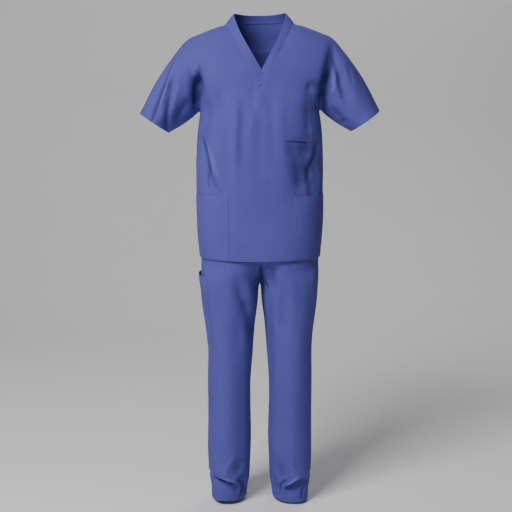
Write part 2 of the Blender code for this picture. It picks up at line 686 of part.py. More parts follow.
def neckband(material):
    """The folded strip round the neck. Its ends lap at the V, the wearer's right end on top."""
    stations = []
    front = shares(ARM_ROWS - V_ROW)
    back = shares(NECK_COLUMNS)
    for side in (-1, 1):
        seam, edge = neckline(side), neckline(side, "edge_")
        half = [(seam(s), edge(s)) for s in front]
        half += [(back_neck(side, s), back_neck(side, s, True)) for s in back[1:]]
        stations += half if side < 0 else half[-2::-1]
    outer = []
    for seam, edge in ((tilted(a), tilted(b)) for a, b in stations):
        gap = V_CORNER_GAP if abs(seam.x) < SEAM_GAP else SEAM_GAP
        start = seam + (edge - seam).normalized() * gap
        outer += [start, start.lerp(edge, 0.5), edge]
    normals = [-normal for normal in grid_normals(outer, 3)]    # these face away from the neck
    last_right = len(front) + len(back) - 1
    moved = []
    for k, (point, normal) in enumerate(zip(outer, normals)):
        dive = 0.0
        if k // 3 >= last_right:
            dive = LAP_DEPTH * min(1.0, max(0.0, (LAP_FAR - point.x) / (LAP_FAR - LAP_NEAR)))
            dive = dive if point.y < 0 else 0.0
        moved.append(point - normal * dive)
    inner = [p - n * BAND_CLOTH for p, n in zip(moved, normals)]
    for k in range(0, len(inner), 3):
        inner[k] = inner[k] + (moved[k + 2] - moved[k]).normalized() * BAND_RIM_SLANT
    return sheet_solid("neckband", moved, inner, 3, material, flip=True)


def grid_normals(points, wide):
    """Normals of a grid of points that run along rows of the given width."""
    tall = len(points) // wide
    normals = []
    for r in range(tall):
        for k in range(wide):
            along = points[min(r + 1, tall - 1) * wide + k] - points[max(r - 1, 0) * wide + k]
            across = points[r * wide + min(k + 1, wide - 1)] - points[r * wide + max(k - 1, 0)]
            normals.append(along.cross(across).normalized())
    return normals


# The trousers' form ------------------------------------------------------------------------------
def leg_point(side, z, t, half):
    """A point of a leg. t is 0 at the inseam and 1 at the outseam, half is front or back."""
    s = section(LEG, LEG_NAMES, z)
    across, forward = oval(math.pi * (1 - t), s["square"])
    centre, wide = (s["inner"] + s["outer"]) / 2, (s["outer"] - s["inner"]) / 2
    y = s["middle"] + (s[half] - s["middle"]) * forward
    toe = s["toe_out"] * (s["middle"] - y) * forward
    return Vector((side * (centre + wide * across + toe), y, z))


def hip_point(side, z, t, half):
    """A point of the hips. t is 0 at the centre and 1 at the outseam."""
    s = section(HIP, HIP_NAMES, z)
    across, forward = oval(math.pi / 2 * (1 - t), HIP_SQUARENESS)
    return Vector((side * s["half"] * across, s["middle"] + (s[half] - s["middle"]) * forward, z))


def outseam(side):
    """The outseam between the fork's height and the hips."""
    low, high = leg_point(side, FORK_Z, 1, "front"), hip_point(side, HIP_Z, 1, "front")
    return Curve([low, low.lerp(high, 0.5), high])


def fork(side, half):
    """The trousers from the fork's height to the hips, on one side's front or back."""
    rise = FRONT_RISE if half == "front" else BACK_RISE
    return filled(
        Curve([(0, y, z) for y, z in rise]),
        outseam(side),
        lambda t: leg_point(side, FORK_Z, t, half),
        lambda t: hip_point(side, HIP_Z, t, half),
        shares(FORK_ROWS),
        shares(LEG_COLUMNS),
    )


def fork_share(p):
    """How strongly the cloth is pulled smooth at a place near the fork."""
    aside, above = p.x / FORK_EASE_HALF_WIDE, (p.z - FORK_EASE_Z) / FORK_EASE_HALF_TALL
    return FORK_EASE_PULL * math.exp(-aside * aside - above * above)


def trouser_skin(top):
    """The trousers without the cargo pocket, inside the top, and the columns of each panel."""
    skin = Skin(lowered)
    low = LEG[0][0]
    close = [low + HEM_ROW * k for k in range(HEM_ROWS)]
    start = low + HEM_ROW * HEM_ROWS
    heights = close + [start + (FORK_Z - start) * s for s in shares(LEG_ROWS)]
    hips = [HIP_Z + (WAIST_Z - HIP_Z) * s for s in shares(HIP_ROWS)]
    columns = {}
    for side, half, panel in (
        (1, "front", FRONT_LEFT), (-1, "front", FRONT_RIGHT), (1, "back", BACK_LEFT), (-1, "back", BACK_RIGHT)
    ):
        flip = (side < 0) == (half == "front")
        across = shares(LEG_COLUMNS)
        leg = skin.patch([[leg_point(side, z, t, half) for t in across] for z in heights], panel, flip=flip)
        middle = skin.patch(fork(side, half), panel, flip=flip)
        upper = skin.patch([[hip_point(side, z, t, half) for t in across] for z in hips], panel, flip=flip)
        band = [[hip_point(side, z, t, half) for t in across] for z in (WAIST_Z, WAIST_TOP_Z)]
        skin.patch(band, WAISTBAND, flip=flip)
        rows = leg + middle[1:] + upper[1:]
        for k in range(LEG_COLUMNS + 1):
            columns[side, half, k] = [row[k] for row in rows]
    skin.relax(SMOOTH_ROUNDS)
    skin.press(TROUSER_FRONT_FOLDS, TROUSER_BACK_FOLDS)
    inside = [v for v in skin.bm.verts if not v.is_boundary]
    for _ in range(FORK_EASE_ROUNDS):
        skin.pull(inside, fork_share)
    skin.bm.normal_update()
    keep_inside(skin, top)
    return skin, columns


def keep_inside(skin, shell):
    """Moves a skin's points to the inner face of the shell round it wherever they would reach past."""
    tree = BVHTree.FromBMesh(shell.bm)
    room = CLOTH + REST_GAP
    hem = min(v.co.z for v in shell.bm.verts)
    for v in skin.bm.verts:
        if v.co.z < hem - BELOW_HEM:
            continue
        place, normal, _, _ = tree.find_nearest(v.co)
        if v.co.z < hem:
            normal = Vector((normal.x, normal.y, 0)).normalized()
        deep = (place - v.co).dot(normal)
        if deep < room:
            v.co -= normal * (room - deep)
    skin.bm.normal_update()


def cargo_pocket(columns, material):
    """The patch pocket over the right outseam, its mouth a little open."""
    last = LEG_COLUMNS
    chains = [columns[-1, "front", k] for k in range(last - CARGO_FRONT, last)]
    chains += [columns[-1, "back", k] for k in range(last, last - CARGO_BACK - 1, -1)]
    tops, feet = [CARGO_TOP] * len(chains), [CARGO_FOOT] * len(chains)

    def lift(across, down):
        below = (CARGO_TOP - CARGO_FOOT) * down
        mouth = CARGO_MOUTH * max(0.0, 1 - below / CARGO_MOUTH_DEEP)
        return (CARGO_EASE + mouth) * math.sqrt(math.sin(math.pi * across)) * arch(CARGO_ARCH, down)

    return laid_on("cargo_pocket", chains, tops, feet, CARGO_ROWS, lift, material, flip=True)


# Materials and scene -----------------------------------------------------------------------------
def cloth_material(name):
    colour, roughness = LOOKS[name]
    material = bpy.data.materials.new(name)
    material.use_nodes = True
    shader = material.node_tree.nodes["Principled BSDF"]
    shader.inputs["Base Color"].default_value = (*colour, 1)
    shader.inputs["Roughness"].default_value = roughness
    shader.inputs["Metallic"].default_value = 0
    material.diffuse_color = (*colour, 1)
    return material


def main():
    for thing in list(bpy.data.objects):
        bpy.data.objects.remove(thing)
    top_cloth, trouser_cloth, band_cloth = (cloth_material(name) for name in LOOKS)

    top, front_columns = top_skin()
    for name, panel in (
        ("top_front", TOP_FRONT),
        ("top_back", TOP_BACK),
        ("sleeve_left", SLEEVE_LEFT),
        ("sleeve_right", SLEEVE_RIGHT),
    ):
        top.wall(name, panel, CLOTH, top_cloth)
    neckband(band_cloth)
    top_pocket("chest_pocket", CHEST_POCKET, front_columns, 1, top_cloth)
    top_pocket("lower_pocket_left", LOWER_POCKET, front_columns, 1, top_cloth)
    top_pocket("lower_pocket_right", LOWER_POCKET, front_columns, -1, top_cloth)

    trousers, leg_columns = trouser_skin(top)
    for name, panel in (
        ("trouser_front_left", FRONT_LEFT),
        ("trouser_front_right", FRONT_RIGHT),
        ("trouser_back_left", BACK_LEFT),
        ("trouser_back_right", BACK_RIGHT),
    ):
        trousers.wall(name, panel, CLOTH, trouser_cloth)
    trousers.wall("waistband", WAISTBAND, BAND_CLOTH, band_cloth)
    cargo_pocket(leg_columns, trouser_cloth)


main()
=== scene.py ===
# %% [markdown]
# # A set of medical scrubs
# The set is a V-neck top that hangs over straight trousers, filled out as if it were worn. The frame
# holds each panel as a plain solid wall in its true place. This lesson dresses those walls: each
# becomes a thin shell of cloth with creases, sewn edges, stitches and a woven finish. A garment could
# also be draped by simulation from flat panels, but starting from the solids keeps the cloth exactly
# where the collision model is.

# %% Load the frame
import math

import bmesh
import bpy
import numpy as np
from mathutils import Matrix, Vector, noise
from mathutils.bvhtree import BVHTree
from mathutils.interpolate import poly_3d_calc
from mathutils.kdtree import KDTree


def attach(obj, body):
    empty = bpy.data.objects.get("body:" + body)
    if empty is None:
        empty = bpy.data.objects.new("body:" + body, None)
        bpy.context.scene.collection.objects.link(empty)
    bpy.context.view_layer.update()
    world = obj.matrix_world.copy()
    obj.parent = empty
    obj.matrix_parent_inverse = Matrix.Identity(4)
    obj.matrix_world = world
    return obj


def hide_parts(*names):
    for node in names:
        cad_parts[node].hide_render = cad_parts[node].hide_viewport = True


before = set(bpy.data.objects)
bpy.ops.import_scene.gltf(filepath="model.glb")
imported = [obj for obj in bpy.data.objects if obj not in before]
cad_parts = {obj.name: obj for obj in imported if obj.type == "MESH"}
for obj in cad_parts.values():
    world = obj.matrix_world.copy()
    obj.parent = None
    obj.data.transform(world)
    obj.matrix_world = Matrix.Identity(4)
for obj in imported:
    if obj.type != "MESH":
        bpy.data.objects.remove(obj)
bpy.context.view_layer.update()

# %% [markdown]
# ## Camera
# A full-length view of clothing is taken from a few metres away with a long lens, so that the top and
# the hems are seen in nearly the same proportion. The camera looks down a little and stands slightly
# to the wearer's right.

# %% Place the camera
AIM = Vector((-0.0115, 0.0, -0.692))        # just under the hem of the top
DISTANCE = 3.09
LENS_ANGLE, LOOK_DOWN, TO_THE_RIGHT = math.radians(28), math.radians(7), math.radians(2)


def direction(turn, lift):
    """The direction from the set to something at that turn to the wearer's right and that height."""
    return Vector((-math.sin(turn) * math.cos(lift), -math.cos(turn) * math.cos(lift), math.sin(lift)))


back = direction(TO_THE_RIGHT, LOOK_DOWN)
camera = bpy.data.objects.new("camera", bpy.data.cameras.new("camera"))
camera.data.angle = LENS_ANGLE
camera.location = AIM + back * DISTANCE
camera.rotation_euler = (-back).to_track_quat("-Z", "Y").to_euler()
bpy.context.scene.collection.objects.link(camera)
bpy.context.scene.camera = camera
print("camera at", [round(c, 3) for c in camera.location])

# %% [markdown]
# ## From solid walls to one sewn skin
# Each solid is a closed wall: an outer face, an inner face and narrow rims. Only the outer face is
# needed, because the cloth gets its own thickness later. A short ray from each face into the wall
# tells them apart: from a broad face it comes straight out of the other side, and from a rim it runs
# along inside the wall. With the rims gone, the outer face is the larger of the two pieces left.

# %% Take the outer face of a solid
JOIN = 0.00001          # points nearer than this are one
WALL_AT_MOST = 0.0040   # more than any wall's thickness
STRAIGHT_OUT = 0.6      # how far the other side must face along the ray
RIM_HEIGHT = 0.0026     # a triangle lower than this is part of a rim
FLAT_ENOUGH, SQUARE_ENOUGH = math.radians(70), math.radians(150)


def islands(bm):
    """The groups of faces that hang together, largest area first."""
    left, groups = set(bm.faces), []
    while left:
        group, edge_of_group = [], [left.pop()]
        while edge_of_group:
            face = edge_of_group.pop()
            group.append(face)
            near = {f for e in face.edges for f in e.link_faces} & left
            left -= near
            edge_of_group += near
        groups.append(group)
    return sorted(groups, key=lambda g: -sum(f.calc_area() for f in g))


def outer_face(node):
    """The outer face of a node's wall as a bmesh of quads."""
    bm = bmesh.new()
    bm.from_mesh(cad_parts[node].data)
    bmesh.ops.remove_doubles(bm, verts=bm.verts, dist=JOIN)
    tree = BVHTree.FromBMesh(bm)
    rims = []
    for face in bm.faces:
        start = face.calc_center_median() - face.normal * JOIN
        far_side = tree.ray_cast(start, -face.normal, WALL_AT_MOST)[1]
        height = 2 * face.calc_area() / max(edge.calc_length() for edge in face.edges)
        if height < RIM_HEIGHT or far_side is None or far_side.dot(-face.normal) < STRAIGHT_OUT:
            rims.append(face)
    bmesh.ops.delete(bm, geom=rims, context="FACES")
    for group in islands(bm)[1:]:
        bmesh.ops.delete(bm, geom=group, context="FACES")
    bmesh.ops.join_triangles(bm, faces=bm.faces, angle_face_threshold=FLAT_ENOUGH,
                             angle_shape_threshold=SQUARE_ENOUGH)
    return bm


TOP_PANELS = ("top_front", "top_back", "sleeve_left", "sleeve_right")
TROUSER_PANELS = ("trouser_front_left", "trouser_front_right", "trouser_back_left", "trouser_back_right",
                  "waistband")
SEAM = 0.0012           # how far apart two panels' edges may lie and still be sewn together


def sewn(nodes):
    """The outer faces of several nodes, sewn edge to edge. Face layer "panel" says whose each face was."""
    whole = bmesh.new()
    for number, node in enumerate(nodes):
        part = outer_face(node)
        layer = part.faces.layers.int.new("panel")
        for face in part.faces:
            face[layer] = number
        mesh = bpy.data.meshes.new("part")
        part.to_mesh(mesh)
        part.free()
        whole.from_mesh(mesh)
    edge_verts = [v for v in whole.verts if v.is_boundary]
    bmesh.ops.remove_doubles(whole, verts=edge_verts, dist=SEAM)
    return whole


def open_edges(bm):
    """How many separate open edges the skin has, and how many points are on each."""
    left, loops = {e for e in bm.edges if e.is_boundary}, []
    while left:
        chain, size = [left.pop()], 0
        while chain:
            edge = chain.pop()
            size += 1
            near = {e for v in edge.verts for e in v.link_edges} & left
            left -= near
            chain += near
        loops.append(size)
    return sorted(loops)


top_cage = sewn(TOP_PANELS)
trouser_cage = sewn(TROUSER_PANELS)
print("the top's open edges", open_edges(top_cage), "the trousers'", open_edges(trouser_cage))

# %% [markdown]
# ## Sew the neckband on
# The band is a folded strip whose ends lap at the point of the V. Seen from outside it is one smooth
# strip with a corner, so here it is drawn out of the neck edge in two steps, to the middle and to the
# free edge of its solid. The wearer's left end lies under the right one in the solid, so the skin takes
# the right end's depth on both sides. The lap itself is pressed in later.

# %% Draw the band out of the neck edge
BAND_PANEL = len(TOP_PANELS)
NECK_LOWEST, NECK_HALF = -0.25, 0.13    # the neck edge lies above and within these
BAND_LEAST = 0.020                      # the free edge is at least this far from the neck edge
BAND_POINT = Vector((0.0, -0.1052, -0.1453))    # where the two free edges cross
LAPPED = 0.045                          # how far out the left end starts to dive
BAND_FULLER = ((0.0663, 0.0032), (0.0382, 0.0012))      # how far out, and how much higher to make it there
FULLER_WITHIN = 0.004                   # how near to there a point counts
NECK_MIDDLE_Y = -0.02                   # the neck is followed round this


def neck_angle(p):
    """Where a point lies round the neck, with 0 in front."""
    return math.atan2(p.x, NECK_MIDDLE_Y - p.y)


def in_order(elements, known):
    """Puts the elements made since, which come in no fixed order, behind the known ones, by their points."""
    made = sorted((element for element in elements if element not in known),
                  key=lambda element: sorted(v.index for v in element.verts))
    place = {element: number for number, element in enumerate([*known, *made])}
    elements.sort(key=place.get)
    elements.index_update()


def draw_band(bm):
    """Draws the neckband's skin out of the neck edge."""
    known_edges, known_faces = dict.fromkeys(bm.edges), dict.fromkeys(bm.faces)
    neck = [e for e in bm.edges if e.is_boundary
            and all(v.co.z > NECK_LOWEST and abs(v.co.x) < NECK_HALF for v in e.verts)]
    seam = {v for e in neck for v in e.verts}
    tip = min(seam, key=lambda v: v.co.z)
    solid = outer_face("neckband")
    free = [v.co.copy() for v in solid.verts if v.is_boundary
            and min((v.co - s.co).length for s in seam) > BAND_LEAST]
    solid.free()
    for p in free:
        if 0 < p.x < LAPPED:
            p.y = min(free, key=lambda q: (q - Vector((-p.x, p.y, p.z))).length).y
    ordered = sorted(seam - {tip}, key=lambda v: neck_angle(v.co))
    aims = dict(zip(ordered, sorted(free, key=neck_angle)))
    aims[tip] = BAND_POINT
    for p in free:
        p.z += sum(more for across, more in BAND_FULLER
                   if abs(abs(p.x) - across) < FULLER_WITHIN and p.z > 0)
    print("neck edge", len(seam), "points, free edge", len(free) + 1)
    layer = bm.faces.layers.int["panel"]
    ring, root_of = neck, {v: v for v in seam}
    for share in (0.5, 1.0):
        drawn = bmesh.ops.extrude_edge_only(bm, edges=ring)["geom"]
        new = [g for g in drawn if isinstance(g, bmesh.types.BMVert)]
        roots = {v: next(root_of[e.other_vert(v)] for e in v.link_edges if e.other_vert(v) in root_of)
                 for v in new}
        for v in new:
            v.co = roots[v].co.lerp(aims[roots[v]], share)
        for face in (g for g in drawn if isinstance(g, bmesh.types.BMFace)):
            face[layer] = BAND_PANEL
        ring = [g for g in drawn if isinstance(g, bmesh.types.BMEdge) and g.is_boundary]
        root_of = roots
    bm.verts.index_update()
    in_order(bm.edges, known_edges)
    in_order(bm.faces, known_faces)
    bm.normal_update()


draw_band(top_cage)

# %% [markdown]
# ## Round the skin off
# The cages are coarse, like a garment folded from card. A subdivision surface rounds them, but it also
# pulls them in a little. So the cage's points are first moved out by as much as the rounding takes
# back, three times over, and the finished skin passes where the solid does. The point of the V stays
# sharp.

# %% Make a fine skin that passes through the cage
ROUND_LEVELS = 2
FIT_ROUNDS = 3


def link(name, mesh):
    """A mesh as an object in the scene."""
    obj = bpy.data.objects.new(name, mesh)
    bpy.context.scene.collection.objects.link(obj)
    return obj


def evaluated_mesh(obj):
    """The object's mesh with its modifiers applied."""
    depsgraph = bpy.context.evaluated_depsgraph_get()
    depsgraph.update()
    return bpy.data.meshes.new_from_object(obj.evaluated_get(depsgraph), depsgraph=depsgraph)


def read_points(mesh):
    """The mesh's points as an array."""
    points = np.empty(len(mesh.vertices) * 3)
    mesh.vertices.foreach_get("co", points)
    return points.reshape(-1, 3)


def read_normals(mesh):
    """The mesh's point normals as an array."""
    normals = np.empty(len(mesh.vertices) * 3)
    mesh.vertices.foreach_get("normal", normals)
    return normals.reshape(-1, 3)


def write_points(mesh, points):
    """Moves the mesh's points to those of the array."""
    mesh.vertices.foreach_set("co", np.ascontiguousarray(points, dtype=float).ravel())
    mesh.update()


def as_bmesh(mesh):
    """The mesh as a bmesh whose points and faces can be looked up by number."""
    bm = bmesh.new()
    bm.from_mesh(mesh)
    bm.verts.ensure_lookup_table()
    bm.faces.ensure_lookup_table()
    return bm


def rounded(cage, levels=ROUND_LEVELS, sharp=(), firm=()):
    """A finer, rounded copy of the cage that still passes through the cage's points. Firm edges keep
    their line."""
    mesh = bpy.data.meshes.new("cage")
    cage.to_mesh(mesh)
    if firm:
        mesh.attributes.new("crease_edge", "FLOAT", "EDGE")
        for index in firm:
            mesh.attributes["crease_edge"].data[index].value = 1.0
    if sharp:
        mesh.attributes.new("crease_vert", "FLOAT", "POINT")
        for index in sharp:
            mesh.attributes["crease_vert"].data[index].value = 1.0
    obj = link("cage", mesh)
    subsurf = obj.modifiers.new("round", "SUBSURF")
    subsurf.levels = subsurf.render_levels = levels
    subsurf.boundary_smooth = "PRESERVE_CORNERS"
    aims = read_points(mesh)
    for _ in range(FIT_ROUNDS):
        reached = read_points(evaluated_mesh(obj))[:len(aims)]
        write_points(mesh, read_points(mesh) + aims - reached)
    fine = evaluated_mesh(obj)
    miss = np.abs(read_points(fine)[:len(aims)] - aims).max()
    print("rounded to", len(fine.vertices), "points, off the cage by", round(float(miss) * 1000, 2), "mm")
    bpy.data.objects.remove(obj)
    return fine


top_cage.verts.index_update()
top_cage.edges.index_update()
panel_of = top_cage.faces.layers.int["panel"]
v_point = min(top_cage.verts, key=lambda v: (v.co - BAND_POINT).length).index
neck_seam = [e.index for e in top_cage.edges
             if sorted(f[panel_of] == BAND_PANEL for f in e.link_faces) == [False, True]]
top_skin = rounded(top_cage, sharp=[v_point], firm=neck_seam)
trouser_skin = rounded(trouser_cage)

# %% [markdown]
# ## Lay the creases
# Worn cloth shows where it hangs from and where it is held back: long soft folds fall from the bust to
# the hem, short sharp ones gather in the bends, and the trouser legs break over the foot. Each crease
# here is a line drawn on the garment as seen from one side, with its own depth and width in
# millimetres. A negative depth raises a ridge. Crisp goes from 0, a round trough, to 1, a sharp nick. A
# lip is the small swell that cloth makes along one side: to the wearer's right of a line drawn down,
# and below a line drawn to the wearer's left, or on the other side if it is negative.

# %% The creases of the top
CREASE_NAMES = ("side", "depth", "width", "crisp", "lip", "path")
TOP_CREASES = (
    # the drape from the ribs to the mouth of the lower pocket, on the wearer's right
    ("front", 9.0, 7.0, 0.7, -0.4, ((-.174, -.326), (-.160, -.369), (-.152, -.409), (-.147, -.433),
                                    (-.141, -.474))),
    ("front", 4.0, 11.0, 0.1, 0, ((-.141, -.455), (-.132, -.480), (-.112, -.503))),
    ("front", 4.0, 4.5, 0.6, 0, ((-.149, -.436), (-.151, -.459), (-.149, -.480))),
    ("front", -3.0, 10.0, 0.1, 0, ((-.156, -.345), (-.135, -.410), (-.116, -.470))),
    ("front", 3.4, 14.0, 0.1, 0, ((-.149, -.225), (-.151, -.281), (-.156, -.326))),
    # the same on the wearer's left, with the hollow that it hangs over
    ("front", 7.0, 11.0, 0.3, -0.2, ((.172, -.335), (.158, -.389), (.143, -.428), (.138, -.470))),
    ("front", -1.6, 9.0, 0.1, 0, ((.170, -.400), (.160, -.450), (.153, -.500))),
    ("front", 11.0, 30.0, 0.0, 0, ((.126, -.325), (.134, -.385), (.132, -.440), (.128, -.505))),
    ("front", 3.0, 12.0, 0.1, 0, ((.082, -.335), (.092, -.380), (.106, -.440), (.112, -.490))),
    ("front", -2.0, 12.0, 0.1, 0, ((.058, -.330), (.068, -.400), (.084, -.500))),
    # just under the chest pocket, which hangs a little clear
    ("front", 4.5, 3.0, 0.9, 0, ((.070, -.3475), (.080, -.3482), (.105, -.3495), (.128, -.3512),
                                 (.142, -.3522))),
    # soft folds down the chest
    ("front", 2.0, 11.0, 0.2, 0, ((-.108, -.300), (-.102, -.380), (-.099, -.480))),
    ("front", -2.2, 12.0, 0.1, 0, ((-.068, -.227), (-.073, -.316), (-.079, -.415))),
    ("front", 2.2, 12.0, 0.1, 0, ((-.050, -.210), (-.058, -.320), (-.064, -.450))),
    ("front", -2.0, 10.0, 0.1, 0, ((-.024, -.262), (-.030, -.302), (-.035, -.345))),
    ("front", 1.6, 12.0, 0.1, 0, ((-.002, -.250), (-.008, -.349), (-.012, -.470))),
    ("front", 1.8, 10.0, 0.1, 0, ((-.020, -.170), (-.026, -.217), (-.032, -.290))),
    ("front", -1.6, 8.0, 0.1, 0, ((-.003, -.206), (-.006, -.232), (-.011, -.262))),
    # the end of the neckband, lapped over the other
    ("front", 2.0, 1.7, 1.0, -0.4, ((.0018, -.1480), (.0035, -.1505), (.006, -.1540), (.0085, -.1590))),
    ("front", 1.8, 11.0, 0.1, 0, ((.026, -.200), (.029, -.280), (.032, -.400))),
    ("front", 2.2, 12.0, 0.1, 0, ((-.124, -.200), (-.118, -.232), (-.114, -.255))),
    ("front", 2.4, 3.0, 0.5, 0, ((.004, -.186), (.000, -.191), (-.005, -.199))),
    # the pull from the armpit over the chest pocket
    ("front", 5.0, 12.0, 0.2, 0, ((.128, -.203), (.146, -.192), (.170, -.190), (.184, -.176))),
    ("front", 2.4, 11.0, 0.1, 0, ((.127, -.191), (.148, -.183), (.170, -.176))),
    ("front", 3.2, 13.0, 0.1, 0, ((.137, -.180), (.134, -.270), (.132, -.345))),
    ("front", 3.0, 18.0, 0.0, 0, ((-.156, -.190), (-.151, -.250), (-.150, -.310))),
    ("front", 2.6, 14.0, 0.1, 0, ((-.166, -.115), (-.160, -.170), (-.156, -.215))),
    # the deep bends where the sleeves meet the body
    ("front", 16.0, 17.0, 0.1, 0, ((-.175, -.148), (-.181, -.184), (-.184, -.221), (-.187, -.260))),
    ("front", 8.0, 8.0, 0.4, 0.2, ((-.173, -.125), (-.181, -.167), (-.188, -.201), (-.188, -.246))),
    ("front", 15.0, 11.0, 0.2, 0, ((.207, -.124), (.188, -.164), (.180, -.209), (.181, -.247))),
    ("front", 2.5, 8.0, 0.2, 0, ((.200, -.214), (.205, -.236), (.209, -.258))),
    # the sleeve on the wearer's right
    ("front", 7.5, 6.0, 0.8, -0.35, ((-.247, -.098), (-.269, -.158), (-.289, -.216), (-.310, -.281),
                                     (-.322, -.318))),
    ("front", -2.0, 6.0, 0.3, 0, ((-.240, -.110), (-.260, -.161), (-.279, -.216), (-.298, -.276))),
    ("front", 8.5, 11.0, 0.3, 0, ((-.250, -.150), (-.258, -.196), (-.264, -.236), (-.270, -.290),
                                  (-.276, -.340))),
    ("front", -3.5, 10.0, 0.2, 0, ((-.236, -.160), (-.246, -.214), (-.264, -.300))),
    ("front", 7.5, 15.0, 0.2, 0, ((-.202, -.222), (-.228, -.258), (-.254, -.296))),
    # the sleeve on the wearer's left
    ("front", 7.0, 9.0, 0.3, 0, ((.211, -.085), (.216, -.128), (.228, -.164), (.234, -.199), (.250, -.250))),
    ("front", 4.0, 8.0, 0.2, 0, ((.254, -.122), (.260, -.158), (.264, -.192))),
    ("front", -4.0, 8.0, 0.1, 0, ((.208, -.136), (.213, -.170), (.208, -.218))),
    ("front", 8.0, 13.0, 0.1, 0, ((.204, -.245), (.220, -.266), (.239, -.289), (.253, -.304))),
    # the back: from the shoulder blades down, and across under the arms
    ("back", 4.0, 10.0, 0.4, 0.4, ((-.152, -.150), (-.146, -.235), (-.128, -.330), (-.122, -.430))),
    ("back", 4.4, 9.0, 0.5, -0.4, ((.156, -.160), (.148, -.240), (.134, -.345), (.116, -.470))),
    ("back", 2.8, 11.0, 0.2, 0, ((-.082, -.190), (-.078, -.310), (-.086, -.450))),
    ("back", -2.4, 12.0, 0.1, 0, ((-.050, -.170), (-.052, -.300), (-.046, -.410))),
    ("back", 3.0, 10.0, 0.3, 0.3, ((-.020, -.240), (-.016, -.360), (-.024, -.520))),
    ("back", 2.4, 12.0, 0.2, 0, ((.044, -.200), (.050, -.330), (.046, -.440))),
    ("back", -2.2, 11.0, 0.1, 0, ((.078, -.230), (.080, -.340), (.072, -.480))),
    ("back", 3.4, 7.0, 0.6, 0.4, ((-.172, -.350), (-.150, -.430), (-.122, -.500), (-.104, -.550))),
    ("back", 3.6, 8.0, 0.5, -0.4, ((.174, -.370), (.156, -.450), (.130, -.540))),
    ("back", 2.0, 9.0, 0.3, 0.3, ((-.066, -.072), (-.010, -.086), (.058, -.078))),
    ("back", 5.0, 8.0, 0.6, 0, ((-.196, -.110), (-.184, -.170), (-.182, -.240))),
    ("back", 5.0, 8.0, 0.6, 0, ((.198, -.105), (.186, -.170), (.183, -.240))),
    ("back", 3.4, 6.0, 0.7, 0.4, ((.246, -.120), (.268, -.190), (.294, -.270))),
    ("back", 2.6, 8.0, 0.3, 0, ((.222, -.170), (.236, -.230), (.258, -.292))),
    ("back", 3.0, 7.0, 0.5, -0.4, ((-.238, -.110), (-.262, -.190), (-.282, -.255))),
    ("back", 2.4, 9.0, 0.2, 0, ((-.216, -.175), (-.226, -.235), (-.246, -.290))),
    # the sides, under the arms
    ("left", 3.4, 8.0, 0.4, 0.4, ((.010, -.285), (.022, -.370), (.018, -.470))),
    ("left", 2.2, 11.0, 0.1, 0, ((-.036, -.320), (-.030, -.430), (-.034, -.540))),
    ("left", 2.6, 9.0, 0.2, 0, ((.052, -.340), (.060, -.450), (.052, -.580))),
    ("right", 3.0, 8.0, 0.4, -0.4, ((.014, -.290), (.006, -.380), (.016, -.500))),
    ("right", 2.6, 10.0, 0.2, 0, ((.050, -.330), (.054, -.450), (.048, -.590))),
    ("right", 2.0, 12.0, 0.1, 0, ((-.030, -.430), (-.034, -.520), (-.028, -.610))),
)

